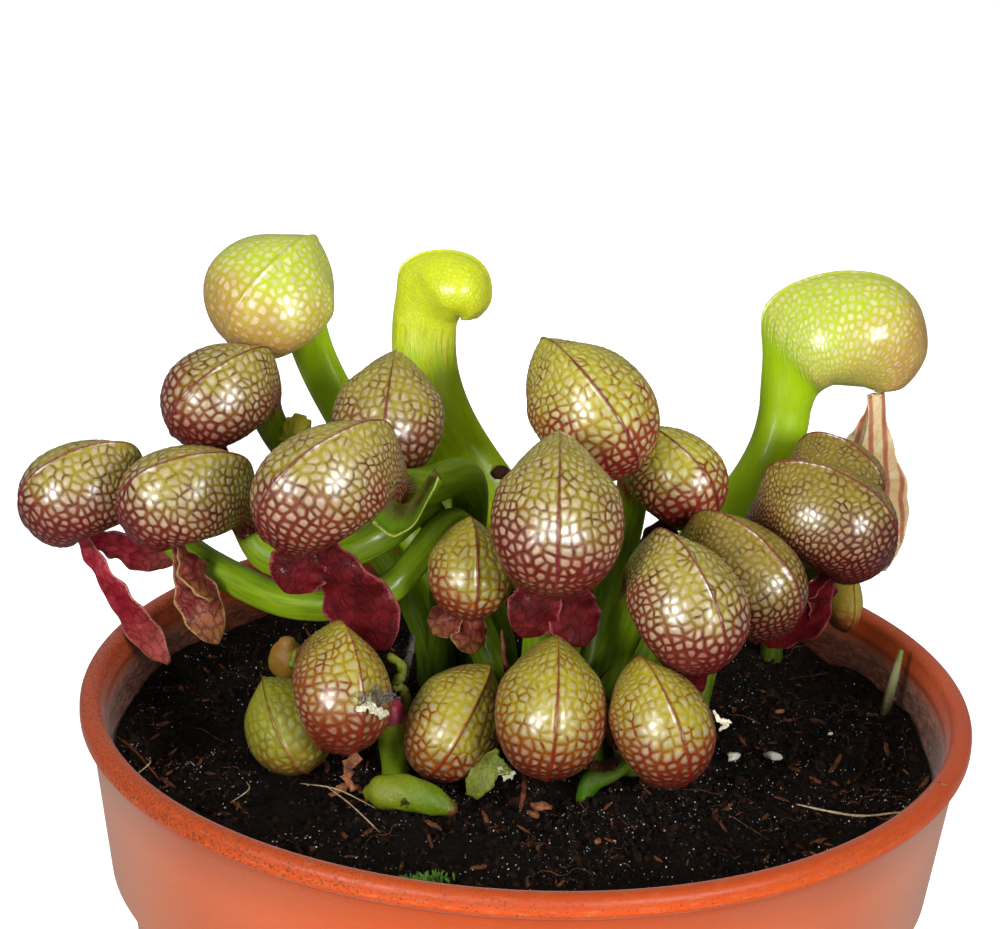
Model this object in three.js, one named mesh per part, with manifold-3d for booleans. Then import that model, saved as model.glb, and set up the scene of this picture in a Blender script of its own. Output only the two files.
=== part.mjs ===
// A potted cobra lily: hooded pitchers with forked tongues in a 12 cm nursery pot of peat.
// Millimetres, +Z up. The origin is the centre of the pot's flat base; -Y is the front.
import * as THREE from "three";
import { mergeVertices } from "three/addons/utils/BufferGeometryUtils.js";
import Module from "manifold-3d";

const wasm = await Module();
wasm.setup();

const RAD = Math.PI / 180;
const UP = new THREE.Vector3(0, 0, 1);
const GAP = 0.3;
const THROUGH = 1;

// The nursery pot.
const POT_HEIGHT = 105;
const LIP_RADIUS = 60;
const LIP_HEIGHT = 3.2;
const LIP_WIDTH = 3;
const LIP_ROUND = 1.2;
const COLLAR_TOP_RADIUS = 58.6;
const COLLAR_FOOT_RADIUS = 55.8;
const COLLAR_FOOT_Z = 81;
const BODY_TOP_RADIUS = 53;
const BODY_TOP_Z = 76;
const BASE_RADIUS = 43;
const BASE_ROUND = 1.5;
const POT_WALL = 1.8;
const FLOOR_THICKNESS = 2.2;
const STACKING_STEP = 0.6;
const POT_SIDES = 36;
const POT_ROUGHNESS = 0.4;
const DRAIN_HOLES = 6;
const DRAIN_RADIUS = 3.5;
const DRAIN_RING = 30;
const DRAIN_SIDES = 12;

// The peat and the plain holes that the plant stands in.
const SOIL_Z = 96;
const SOIL_RELIEF = 0.8;
const SOIL_SECTORS = 24;
const SOIL_RINGS = 6;
const HOLE_SIDES = 8;
const ROOTED = 4;
const PEAT_ROUGHNESS = 0.95;

// The tubes of the pitchers.
const TUBE_FOOT_RADIUS = 2.3;
const FOOT_RISE = 1.5;
const TUBE_STEPS = 5;
const TUBE_PULL = 0.4;
const TUBE_FLARE = 1.4;
const KEEL = 0.5;
const LEAF_ROUGHNESS = 0.3;

// A hood seen from its side, in shares of its length from crest to nose. Each station of
// the dome (outer) faces a station of the throat and mouth (inner), from the neck to the
// chin. half is the half width there as a share of the hood's width, and peak says how
// sharply the back of the section closes, from 0 for a round to 1 for a corner.
const HOOD = {
  outerAlong: [-0.4, -0.44, -0.5, -0.38, -0.12, 0.18, 0.4, 0.5, 0.42, 0.3],
  outerHigh: [-0.54, -0.26, 0.02, 0.2, 0.33, 0.35, 0.22, -0.04, -0.25, -0.31],
  innerAlong: [-0.14, -0.12, -0.09, -0.04, 0.01, 0.06, 0.11, 0.16, 0.2, 0.24],
  innerHigh: [-0.54, -0.45, -0.4, -0.36, -0.35, -0.34, -0.33, -0.32, -0.32, -0.32],
  half: [0.2, 0.25, 0.36, 0.46, 0.5, 0.5, 0.44, 0.34, 0.24, 0.1],
  peak: [0, 0.35, 0.95, 0.7, 0.36, 0.16, 0.06, 0, 0, 0],
};
const HOOD_STATIONS = [0, 0.8, 1.5, 2.1, 3, 4, 5, 6, 7, 8, 9];
const RING_ANGLES = [0, 10, 46, 88, 134, 180, 226, 272, 314, 350];
const RIDGE = 0.32;
const RIDGE_FROM_STATION = 1.6;
const THROAT = new THREE.Vector2(-0.12, -0.43);
const CURLED = [1, 0.55, 0.12];
const WIDE_BEHIND = 0.15;
const WIDE_STATIONS = 4;
const WIDEST_THROAT = 0.2;
const DROOP_STATIONS = 5;

// The tongues that hang from the mouths: each lobe is a thin waved blade.
const BLADE = 0.8;
const LOBE_STEPS = 8;
const LOBE_OUTLINE = [0.3, 0.36, 0.55, 0.8, 1, 1, 0.78, 0.3];
const LOBE_BEND = 0.4;
const LOBE_DROP = 0.5;
const WAVE = 0.45;
const WAVE_TURN = 540;
const BLADE_ROUGHNESS = 0.35;
const TONGUE_ROOT = new THREE.Vector2(0.25, -0.33);
const TONGUE_SEAT = 0.7;

// Each pitcher: foot is where its tube leaves the peat and hood the middle of its hood;
// turn is the way that the hood faces (0 is the front, 90 the right), nod how far the nose
// dips and roll the tilt about the hood's own length; size is that length and the width.
// curl is how far the hood bends past a right angle from its tube, wide opens the neck by a
// share of the length, mostly ahead, and deep behind; droop lowers the nose by such a share,
// and flare is how late the tube widens. A tube with via places runs through them.
// A tongue is a list of lobes, each with the offset of its tip from the mouth, its width
// and the way that its broad side faces; seat is how far its root lies under the mouth.
const PITCHERS = [
  {
    name: "far_left",
    foot: [-7, 11],
    hood: [-62, 10, 127.5],
    turn: -80,
    nod: 35,
    roll: -25,
    size: [18.5, 13.8],
    curl: 5,
    colour: "net",
    tongue: [
      { tip: [13, -3, -18], width: 5, face: -20 },
      { tip: [13, 4, -5.5], width: 6, face: 10 },
    ],
    tongueColour: "crimson",
    via: [
      [-7.5, 11, 118],
      [-11, 9, 125.5],
      [-20, -1, 118.5],
      [-31, 1.5, 115.5],
      [-41, 8.5, 116],
      [-48, 13, 118],
    ],
    stem: 1.6,
  },
  {
    name: "left",
    foot: [-12, 13],
    hood: [-47, 2, 130.5],
    turn: -85,
    nod: 28,
    roll: -30,
    size: [19, 13.6],
    curl: 10,
    colour: "net",
    tongue: [
      { tip: [6.5, -3, -14.5], width: 6, face: 20 },
      { tip: [5.5, -2.5, -8.5], width: 5, face: 60 },
    ],
    tongueColour: "mottled",
    via: [
      [-12.5, 13, 119],
      [-15.3, 9.6, 127],
      [-21, 4.3, 124.5],
      [-28.5, 2.4, 121.6],
      [-35.5, 4.6, 121],
    ],
    stem: 2,
  },
  {
    name: "left_back",
    foot: [-14, 18.5],
    hood: [-43.5, 13, 141],
    turn: -70,
    nod: 40,
    roll: -40,
    size: [17.2, 14],
    curl: 20,
    colour: "net",
    tongue: [{ tip: [2, 2, -9], width: 4.5, face: 0 }],
    tongueColour: "crimson",
    seat: 0.35,
    stem: 1.6,
  },
  {
    name: "left_front",
    foot: [-9, 16.5],
    hood: [-27.5, -10, 137.5],
    turn: -70,
    nod: 42,
    roll: -32,
    size: [21.5, 15],
    curl: 20,
    colour: "net",
    tongue: [
      { tip: [10, -3, -15], width: 10, face: -15 },
      { tip: [-4, -2, -8], width: 8, face: 15 },
    ],
    tongueColour: "crimson",
    via: [
      [-9, 16.5, 118],
      [-9.5, 13.5, 129.8],
      [-15.5, 5.6, 131.2],
    ],
    seat: 1,
  },
  {
    name: "centre_left",
    foot: [-3.5, 19],
    hood: [-20.4, 12.6, 138.7],
    turn: -10,
    nod: 68,
    roll: -8,
    size: [17, 15],
    curl: 35,
    colour: "net",
  },
  {
    name: "tall_left",
    foot: [-12, 23],
    hood: [-37.8, 24.5, 152.1],
    turn: -60,
    nod: 48,
    roll: -40,
    size: [18.4, 18],
    curl: 30,
    colour: "lime",
    tongue: [{ tip: [-4.4, -1.4, -3.8], width: 3.6, face: -60 }],
    tongueColour: "orange",
    stem: 3.2,
    seat: 0.8,
    flare: 0.6,
  },
  {
    name: "young",
    foot: [4, 30],
    hood: [-13.3, 34, 151.5],
    turn: 80,
    nod: 12,
    roll: -10,
    size: [12.2, 11.4],
    wide: 0.6,
    colour: "lime",
    stem: 4,
    curl: 12,
    flare: 0.6,
    deep: 0.06,
    droop: 0.05,
  },
  {
    name: "centre_back",
    foot: [4, 13],
    hood: [7, 7, 143.5],
    turn: 65,
    nod: 48,
    roll: 45,
    size: [21, 16],
    curl: 30,
    colour: "net",
  },
  {
    name: "centre",
    foot: [1, 4],
    hood: [3, -13, 135],
    turn: 3,
    nod: 69,
    roll: 2,
    size: [20.8, 17],
    curl: 40,
    colour: "net",
    tongue: [
      { tip: [-4, -1, -11], width: 7, face: -10 },
      { tip: [4.5, -1, -12], width: 7, face: 10 },
    ],
    tongueColour: "crimson",
    seat: 0.5,
    stem: 2,
  },
  {
    name: "right_back",
    foot: [9, 12],
    hood: [19, 11, 133],
    turn: 68,
    nod: 45,
    roll: 32,
    size: [16, 12.8],
    curl: 30,
    colour: "net",
    tongue: [{ tip: [-4, -3, -7], width: 5, face: 10 }],
    tongueColour: "crimson",
    seat: 0.5,
  },
  {
    name: "right",
    foot: [12, 5],
    hood: [28.5, -1, 123.9],
    turn: 67,
    nod: 46,
    roll: 22,
    size: [19.5, 14],
    curl: 20,
    colour: "dark",
  },
  {
    name: "right_front",
    foot: [9, -2],
    hood: [20.6, -13.3, 124.3],
    turn: 50,
    nod: 60,
    roll: 22,
    size: [19.2, 15],
    curl: 30,
    colour: "net",
    tongue: [{ tip: [3.5, 5, -9], width: 5.5, face: 30 }],
    tongueColour: "crimson",
    seat: 0.5,
  },
  {
    name: "far_right",
    foot: [17, 9],
    hood: [39.8, 7.5, 129.3],
    turn: 77,
    nod: 32,
    roll: 18,
    size: [20.5, 14.6],
    curl: 5,
    colour: "dark",
    tongue: [
      { tip: [-8, 2, -13], width: 9.6, face: 10 },
      { tip: [-2, 3, -9], width: 5, face: 50 },
    ],
    tongueColour: "crimson",
    seat: 0.2,
  },
  {
    name: "far_right_back",
    foot: [24, 12],
    hood: [42.3, 21, 130.2],
    turn: 70,
    nod: 42,
    roll: 10,
    size: [14, 12],
    curl: 20,
    colour: "dark",
    stem: 1.6,
  },
  {
    name: "tall_right",
    foot: [16, 27],
    hood: [43.2, 37, 146.3],
    turn: 92,
    nod: 8,
    roll: -12,
    size: [23, 15.4],
    colour: "lime",
    tongue: [
      { tip: [3.5, 3, -28], width: 8.4, face: 10 },
      { tip: [-2.5, 4, -17], width: 5.4, face: -10 },
    ],
    tongueColour: "cream",
    stem: 4.2,
    seat: 0.95,
    flare: 0.5,
    curl: 3,
    deep: 0.06,
    droop: 0.03,
  },
  {
    name: "low_left",
    foot: [-17, -3.5],
    hood: [-23.6, -17.5, 111.6],
    turn: 15,
    nod: 68,
    roll: -12,
    size: [17, 12.8],
    curl: 20,
    colour: "ochre",
  },
  {
    name: "low_centre_left",
    foot: [-9.5, -0.5],
    hood: [-8.9, -12.5, 105.3],
    turn: -55,
    nod: 56,
    roll: -60,
    size: [17, 12.6],
    curl: 10,
    colour: "ochre",
  },
  {
    name: "low_centre",
    foot: [3, -6],
    hood: [3.4, -20, 111.2],
    turn: -5,
    nod: 70,
    roll: -10,
    size: [18.4, 14.4],
    curl: 20,
    colour: "ochre",
  },
  {
    name: "low_right",
    foot: [14.5, -4.5],
    hood: [17.7, -21.6, 110.9],
    turn: 48,
    nod: 60,
    roll: 28,
    size: [17.2, 12.8],
    curl: 20,
    colour: "ochre",
  },
  {
    name: "inner",
    foot: [-3, 3],
    hood: [-8, -4, 123.5],
    turn: 6,
    nod: 68,
    roll: -6,
    size: [13.2, 11.3],
    curl: 35,
    colour: "ochre",
    tongue: [
      { tip: [-4, -1, -5.5], width: 4.6, face: -10 },
      { tip: [1.5, -1, -8], width: 5, face: 10 },
    ],
    tongueColour: "mottled",
  },
  {
    name: "green_low",
    foot: [-25, -1.5],
    hood: [-31.5, -13, 104],
    turn: 55,
    nod: 56,
    roll: 60,
    size: [13.8, 11.4],
    colour: "ochre",
    stem: 1.6,
  },
  {
    name: "bud_right",
    foot: [35.5, 33.5],
    hood: [43.8, 19, 113],
    turn: 20,
    nod: 80,
    roll: 0,
    size: [10.5, 5],
    colour: "ochre",
    stem: 1.6,
  },
];

// A loose wing of green blade that stands off a tube, made as a tongue is.
const WINGS = [
  {
    name: "wing_left_front",
    colour: "leaf",
    root: [-15.9, -2.5, 134.4],
    lobes: [
      { tip: [0.6, -4.6, -5.4], width: 7, face: 20 },
      { tip: [4.6, -2, -2.6], width: 5.6, face: 40 },
    ],
  },
];

// Short limbs round the crown: each is a row of places with the radius there. Those with
// a root stand in a hole of their own under their first place; z is above the peat.
const STUBS = [
  {
    name: "stub_lying",
    colour: "leaf",
    places: [
      [-19.6, -20.8, 2.4, 1.2],
      [-18.2, -21.4, 2.5, 2.2],
      [-14.6, -22.6, 2.4, 2.3],
      [-11.4, -23.2, 2.1, 1.9],
      [-9, -23.4, 1.8, 1],
    ],
  },
  {
    name: "stub_upright",
    colour: "leaf",
    root: true,
    places: [
      [-17, -9.6, 0.5, 1.9],
      [-17.2, -10, 4, 2.1],
      [-17.5, -10.6, 8, 2.1],
      [-17.7, -11, 10.4, 1.4],
    ],
  },
  {
    name: "stub_hooked",
    colour: "leaf",
    root: true,
    places: [
      [8.6, -13.4, 0.5, 1.3],
      [9.4, -13.2, 2, 1.4],
      [12, -12, 2.6, 1.4],
      [13.6, -10.6, 4, 1.3],
      [12.6, -9.8, 5.6, 0.8],
    ],
  },
  {
    name: "bud_left",
    colour: "ochre",
    root: true,
    places: [
      [-31.5, 2, 0.5, 1.1],
      [-31.8, 1.6, 4, 1.2],
      [-32.2, 0.8, 8, 1.6],
      [-32.4, 0.2, 9.5, 2.4],
      [-32.5, -0.4, 11.5, 2.3],
      [-32.5, -0.9, 13.2, 1.2],
    ],
  },
  {
    name: "dry_stalk",
    colour: "straw",
    root: true,
    places: [
      [50.6, 15, 0.5, 0.8],
      [51, 15.4, 3, 0.7],
      [51.6, 16, 6, 0.6],
      [52.2, 16.6, 9, 0.4],
    ],
  },
];
const STUB_SIDES = 9;
const STUB_ASIDE = new THREE.Vector3(1, 0.3, 0).normalize();
const STUB_ROUGHNESS = 0.4;

// Colours of the plant and the pot.
const COLOURS = {
  terracotta: 0xd9542a,
  peat: 0x1d1410,
  net: 0x94744e,
  dark: 0x6e5238,
  ochre: 0xa07c3c,
  lime: 0xa8c22c,
  crimson: 0x8c1430,
  mottled: 0x9a4a38,
  orange: 0xb8502c,
  cream: 0xe4cfa0,
  straw: 0x9a8a5a,
  leaf: 0x6f9c1c,
};

function solidFrom(geometry) {
  const bare = geometry.clone();
  bare.deleteAttribute("normal");
  bare.deleteAttribute("uv");
  const merged = mergeVertices(bare, 1e-4);
  return new wasm.Manifold(
    new wasm.Mesh({
      numProp: 3,
      vertProperties: merged.attributes.position.array,
      triVerts: new Uint32Array(merged.index.array),
    }),
  );
}

function geometryFrom(solid) {
  const mesh = solid.getMesh();
  const geometry = new THREE.BufferGeometry();
  geometry.setAttribute("position", new THREE.BufferAttribute(mesh.vertProperties, 3));
  geometry.setIndex(new THREE.BufferAttribute(mesh.triVerts, 1));
  geometry.computeVertexNormals();
  return geometry;
}

function named(name, geometry, colour, roughness) {
  const material = new THREE.MeshStandardMaterial({ color: colour, roughness, metalness: 0 });
  const mesh = new THREE.Mesh(geometry, material);
  mesh.name = name;
  return mesh;
}

// A value of an evenly spaced list at a real index, on a smooth curve through its entries.
function along(list, index) {
  const last = list.length - 1;
  const i = Math.min(Math.max(Math.floor(index), 0), last - 1);
  const t = index - i;
  const before = i > 0 ? list[i - 1] : 2 * list[0] - list[1];
  const after = i + 2 <= last ? list[i + 2] : 2 * list[last] - list[last - 1];
  const rise = (list[i + 1] - before) / 2;
  const fall = (after - list[i]) / 2;
  const step = list[i + 1] - list[i];
  return list[i] + t * (rise + t * (3 * step - 2 * rise - fall + t * (rise + fall - 2 * step)));
}

// The closed skin over a row of rings with the same number of points, capped at both ends.
function skin(rings) {
  const count = rings[0].length;
  const points = rings.flat();
  const faces = [];
  const middle = (ring) =>
    ring.reduce((sum, p) => sum.add(p), new THREE.Vector3()).divideScalar(count);
  const start = points.length;
  points.push(middle(rings[0]));
  points.push(middle(rings[rings.length - 1]));
  for (let j = 0; j < count; j++) {
    const next = (j + 1) % count;
    for (let i = 0; i + 1 < rings.length; i++) {
      const a = i * count + j;
      const b = i * count + next;
      faces.push(a, b, b + count);
      faces.push(a, b + count, a + count);
    }
    const top = (rings.length - 1) * count;
    faces.push(start, next, j);
    faces.push(start + 1, top + j, top + next);
  }
  const geometry = new THREE.BufferGeometry();
  const flat = points.flatMap((p) => [p.x, p.y, p.z]);
  geometry.setAttribute("position", new THREE.Float32BufferAttribute(flat, 3));
  geometry.setIndex(faces);
  geometry.computeVertexNormals();
  return geometry;
}

// The peat's surface swells gently; the level is raised round the crown.
function soilHeight(x, y) {
  const swell = Math.sin(x * 0.19 + 1.3) * Math.cos(y * 0.16) + 0.6 * Math.sin(0.33 * x - 0.27 * y);
  return SOIL_Z + SOIL_RELIEF * swell;
}

// The inner radius of the pot's wall at a height.
function innerRadius(z) {
  const lipInner = LIP_RADIUS - LIP_WIDTH;
  const collarInner = COLLAR_FOOT_RADIUS - POT_WALL - STACKING_STEP;
  const bodyInner = BODY_TOP_RADIUS - POT_WALL;
  const floorInner = BASE_RADIUS - POT_WALL;
  if (z > COLLAR_FOOT_Z) {
    const share = (z - COLLAR_FOOT_Z) / (POT_HEIGHT - COLLAR_FOOT_Z);
    return collarInner + share * (lipInner - collarInner);
  }
  if (z > BODY_TOP_Z) {
    const share = (z - BODY_TOP_Z) / (COLLAR_FOOT_Z - BODY_TOP_Z);
    return bodyInner + share * (collarInner - bodyInner);
  }
  const share = (z - FLOOR_THICKNESS) / (BODY_TOP_Z - FLOOR_THICKNESS);
  return floorInner + share * (bodyInner - floorInner);
}

function roundCorner(list, x, y, radius, from, to, steps) {
  for (let i = 0; i <= steps; i++) {
    const angle = (from + ((to - from) * i) / steps) * RAD;
    list.push(new THREE.Vector2(x + radius * Math.cos(angle), y + radius * Math.sin(angle)));
  }
}

function post(x, y, z, radius, height, sides) {
  const cylinder = new THREE.CylinderGeometry(radius, radius, height, sides);
  cylinder.rotateX(90 * RAD);
  cylinder.translate(x, y, z + height / 2);
  return solidFrom(cylinder);
}

function makePot() {
  const line = [new THREE.Vector2(0, 0)];
  roundCorner(line, BASE_RADIUS - BASE_ROUND, BASE_ROUND, BASE_ROUND, -90, 0, 3);
  line.push(new THREE.Vector2(BODY_TOP_RADIUS, BODY_TOP_Z));
  line.push(new THREE.Vector2(COLLAR_FOOT_RADIUS, COLLAR_FOOT_Z));
  line.push(new THREE.Vector2(COLLAR_TOP_RADIUS, POT_HEIGHT - LIP_HEIGHT));
  roundCorner(line, LIP_RADIUS - LIP_ROUND, POT_HEIGHT - LIP_HEIGHT + LIP_ROUND, LIP_ROUND, -60, 0, 2);
  roundCorner(line, LIP_RADIUS - LIP_ROUND, POT_HEIGHT - LIP_ROUND, LIP_ROUND, 0, 90, 3);
  roundCorner(line, LIP_RADIUS - LIP_WIDTH + LIP_ROUND, POT_HEIGHT - LIP_ROUND, LIP_ROUND, 90, 180, 2);
  line.push(new THREE.Vector2(innerRadius(COLLAR_FOOT_Z), COLLAR_FOOT_Z));
  line.push(new THREE.Vector2(innerRadius(BODY_TOP_Z), BODY_TOP_Z));
  line.push(new THREE.Vector2(innerRadius(FLOOR_THICKNESS), FLOOR_THICKNESS));
  line.push(new THREE.Vector2(0, FLOOR_THICKNESS));
  const turned = new THREE.LatheGeometry(line, POT_SIDES);
  turned.rotateX(90 * RAD);
  let pot = solidFrom(turned);
  for (let i = 0; i < DRAIN_HOLES; i++) {
    const angle = (360 / DRAIN_HOLES) * i * RAD;
    const x = DRAIN_RING * Math.cos(angle);
    const y = DRAIN_RING * Math.sin(angle);
    pot = pot.subtract(post(x, y, -THROUGH, DRAIN_RADIUS, FLOOR_THICKNESS + 2 * THROUGH, DRAIN_SIDES));
  }
  return named("pot", geometryFrom(pot), COLOURS.terracotta, POT_ROUGHNESS);
}

function makeSoil(feet) {
  const rings = [];
  const ringAt = (radius, height) =>
    Array.from({ length: SOIL_SECTORS }, (_, j) => {
      const angle = (360 / SOIL_SECTORS) * j * RAD;
      const x = radius * Math.cos(angle);
      const y = radius * Math.sin(angle);
      return new THREE.Vector3(x, y, height ?? soilHeight(x, y));
    });
  const sides = Math.cos((180 / POT_SIDES) * RAD);
  const radiusAt = (z) => innerRadius(z) * sides - GAP;
  const floor = FLOOR_THICKNESS + GAP;
  rings.push(ringAt(radiusAt(floor), floor));
  rings.push(ringAt(radiusAt(BODY_TOP_Z), BODY_TOP_Z));
  rings.push(ringAt(radiusAt(COLLAR_FOOT_Z) - GAP, COLLAR_FOOT_Z));
  const edge = radiusAt(SOIL_Z - SOIL_RELIEF);
  for (let i = SOIL_RINGS; i > 0; i--) rings.push(ringAt((edge * i) / SOIL_RINGS));
  let soil = solidFrom(skin(rings));
  for (const [x, y, radius] of feet) {
    const depth = ROOTED + GAP;
    const clear = (radius + GAP) / Math.cos((180 / HOLE_SIDES) * RAD);
    const bottom = soilHeight(x, y) - depth;
    soil = soil.subtract(post(x, y, bottom, clear, depth + 2 * SOIL_RELIEF, HOLE_SIDES));
  }
  return named("soil", geometryFrom(soil), COLOURS.peat, PEAT_ROUGHNESS);
}

// The directions of a hood: ahead from crest to nose, dome out of its back, and side.
function hoodFrame(pitcher) {
  const turn = pitcher.turn * RAD;
  const nod = pitcher.nod * RAD;
  const roll = pitcher.roll * RAD;
  const level = new THREE.Vector3(Math.sin(turn), -Math.cos(turn), 0);
  const ahead = level.clone().multiplyScalar(Math.cos(nod)).addScaledVector(UP, -Math.sin(nod));
  const upright = level.clone().multiplyScalar(Math.sin(nod)).addScaledVector(UP, Math.cos(nod));
  const across = new THREE.Vector3().crossVectors(ahead, upright);
  const dome = upright.multiplyScalar(Math.cos(roll)).addScaledVector(across, Math.sin(roll));
  const side = new THREE.Vector3().crossVectors(ahead, dome);
  return { centre: new THREE.Vector3(...pitcher.hood), ahead, dome, side };
}

// A place in a hood from shares of its length ahead and towards the dome.
function inHood(pitcher, frame, place) {
  return frame.centre
    .clone()
    .addScaledVector(frame.ahead, place.x * pitcher.size[0])
    .addScaledVector(frame.dome, place.y * pitcher.size[0]);
}

// How far a station is turned about the throat by the curl of its pitcher.
function curlAt(pitcher, station) {
  const share = station < CURLED.length - 1 ? along(CURLED, station) : 0;
  return (pitcher.curl ?? 0) * Math.max(0, share) * RAD;
}

// A closed ring round a section: peak sharpens its back, ridge and keel stand out of its
// back and front.
function ringOf(section) {
  const { centre, back, side, reach, half, peak, ridge, keel } = section;
  const widest = -peak / (2 + peak);
  const scale = Math.sqrt(1 - widest * widest) * Math.pow((1 - widest) / 2, peak / 2);
  return RING_ANGLES.map((degrees) => {
    const angle = degrees * RAD;
    const pinch = Math.pow((1 - Math.cos(angle)) / 2, peak / 2) / scale;
    let out = reach * Math.cos(angle);
    if (degrees === 0) out += ridge;
    if (degrees === 180) out -= keel;
    return centre
      .clone()
      .addScaledVector(back, out)
      .addScaledVector(side, half * Math.sin(angle) * pinch);
  });
}

function hoodSection(pitcher, frame, station) {
  const wide = pitcher.wide ?? 0;
  const curl = curlAt(pitcher, station);
  const throat = new THREE.Vector2(Math.min(THROAT.x + wide, WIDEST_THROAT), THROAT.y);
  const deep = WIDE_BEHIND * wide + (pitcher.deep ?? 0);
  const behind = -deep * Math.max(0, 1 - station / WIDE_STATIONS);
  const chin = HOOD.half.length - 1;
  const drooped = (pitcher.droop ?? 0) * Math.max(0, 1 - (chin - station) / DROOP_STATIONS);
  const ahead = (1 - WIDE_BEHIND) * wide * (1 - station / chin);
  const furthest = WIDEST_THROAT + (HOOD.innerAlong[chin] - WIDEST_THROAT) * (station / chin);
  const domeAlong = along(HOOD.outerAlong, station) + behind;
  const mouthAlong = Math.min(along(HOOD.innerAlong, station) + ahead, furthest);
  const dome = new THREE.Vector2(domeAlong, along(HOOD.outerHigh, station) - drooped);
  const mouth = new THREE.Vector2(mouthAlong, along(HOOD.innerHigh, station) - drooped);
  const outer = inHood(pitcher, frame, dome.rotateAround(throat, curl));
  const inner = inHood(pitcher, frame, mouth.rotateAround(throat, curl));
  const back = outer.clone().sub(inner);
  const reach = back.length() / 2;
  return {
    centre: outer.add(inner).divideScalar(2),
    back: back.normalize(),
    side: frame.side,
    reach,
    half: along(HOOD.half, station) * pitcher.size[1],
    peak: Math.max(0, along(HOOD.peak, station)),
    ridge: station > RIDGE_FROM_STATION ? RIDGE : 0,
    keel: 0,
  };
}

// The line of a tube from its foot to the neck of its hood, through its own via places
// where it has them.
function tubePath(pitcher, start, neck, arriving) {
  const pull = start.distanceTo(neck) * TUBE_PULL;
  const leaving = start.clone().addScaledVector(UP, pull);
  const coming = neck.clone().addScaledVector(arriving, -pull);
  if (!pitcher.via) return new THREE.CubicBezierCurve3(start, leaving, coming, neck);
  const via = pitcher.via.map((place) => new THREE.Vector3(...place));
  return new THREE.CatmullRomCurve3([start, ...via, neck], false, "centripetal");
}

// The rings of a tube. Their side direction is carried down from the neck with the least
// turning.
function tubeSections(pitcher, frame, neck) {
  const [x, y] = pitcher.foot;
  const soil = soilHeight(x, y);
  const start = new THREE.Vector3(x, y, soil + FOOT_RISE);
  const curl = (pitcher.curl ?? 0) * RAD;
  const arriving = frame.dome.clone().multiplyScalar(Math.cos(curl));
  arriving.addScaledVector(frame.ahead, -Math.sin(curl));
  const path = tubePath(pitcher, start, neck.centre, arriving);
  const steps = TUBE_STEPS + (pitcher.via ? pitcher.via.length : 0);
  const radius = pitcher.stem ?? TUBE_FOOT_RADIUS;
  const side = frame.side.clone();
  const above = arriving.clone();
  const sections = [];
  for (let i = steps - 1; i >= -1; i--) {
    const share = Math.max(0, i / steps);
    const centre = path.getPoint(share);
    const tangent = i > 0 ? path.getTangent(share) : UP.clone();
    if (i < 0) centre.z = soil - ROOTED;
    side.applyQuaternion(new THREE.Quaternion().setFromUnitVectors(above, tangent));
    above.copy(tangent);
    const grown = Math.pow(share, pitcher.flare ?? TUBE_FLARE);
    sections.unshift({
      centre,
      back: new THREE.Vector3().crossVectors(side, tangent),
      side: side.clone(),
      reach: radius + (neck.reach - radius) * grown,
      half: radius + (neck.half - radius) * grown,
      peak: 0,
      ridge: 0,
      keel: KEEL * Math.sin(share * 180 * RAD),
    });
  }
  return sections;
}

function makePitcher(pitcher) {
  const frame = hoodFrame(pitcher);
  const hood = HOOD_STATIONS.map((station) => hoodSection(pitcher, frame, station));
  const sections = [...tubeSections(pitcher, frame, hood[0]), ...hood];
  const shape = skin(sections.map(ringOf));
  return named("pitcher_" + pitcher.name, shape, COLOURS[pitcher.colour], LEAF_ROUGHNESS);
}

// One lobe of a tongue, a thin blade that widens from its root and closes to a blunt tip.
// Its front and back are split into triangles alike.
function lobe(root, shape) {
  const tip = root.clone().add(new THREE.Vector3(...shape.tip));
  const bend = root.clone().lerp(tip, LOBE_BEND);
  bend.z = root.z + (tip.z - root.z) * LOBE_DROP;
  const path = new THREE.QuadraticBezierCurve3(root, bend, tip);
  const face = shape.face * RAD;
  const acrossWay = new THREE.Vector3(Math.cos(face), Math.sin(face), 0);
  const rings = [];
  for (let i = 0; i < LOBE_STEPS; i++) {
    const share = i / (LOBE_STEPS - 1);
    const tangent = path.getTangent(share);
    const across = acrossWay.clone().addScaledVector(tangent, -acrossWay.dot(tangent)).normalize();
    const normal = new THREE.Vector3().crossVectors(tangent, across);
    const half = (LOBE_OUTLINE[i] * shape.width) / 2;
    const centre = path.getPoint(share);
    const wave = WAVE * Math.sin(share * WAVE_TURN * RAD);
    const columns = [
      [-1, wave],
      [0, 0],
      [1, -wave],
    ];
    const layer = (offset) =>
      columns.map(([column, lift]) =>
        centre
          .clone()
          .addScaledVector(across, column * half)
          .addScaledVector(normal, offset + lift),
      );
    rings.push([...layer(BLADE / 2), ...layer(-BLADE / 2).reverse()]);
  }
  return solidFrom(blade(rings));
}

// The closed skin of a blade: every ring runs over the front and back under it, and each
// pair of facing quads is cut along the same diagonal.
function blade(rings) {
  const count = rings[0].length;
  const points = rings.flat();
  const faces = [];
  const quad = (a, b, c, d, other) => {
    if (other) faces.push(a, d, b, b, d, c);
    else faces.push(a, c, b, a, d, c);
  };
  for (let i = 0; i + 1 < rings.length; i++) {
    for (let j = 0; j < count; j++) {
      const next = (j + 1) % count;
      const a = i * count + j;
      const b = i * count + next;
      quad(a, b, b + count, a + count, j >= count / 2);
    }
  }
  const close = (at, turned) => {
    for (let j = 0; j + 1 < count / 2; j++) {
      const loop = [at + j, at + count - 1 - j, at + count - 2 - j, at + j + 1];
      if (turned) loop.reverse();
      quad(...loop, false);
    }
  };
  close(0, false);
  close((rings.length - 1) * count, true);
  const geometry = new THREE.BufferGeometry();
  const flat = points.flatMap((p) => [p.x, p.y, p.z]);
  geometry.setAttribute("position", new THREE.Float32BufferAttribute(flat, 3));
  geometry.setIndex(faces);
  return geometry;
}

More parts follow.
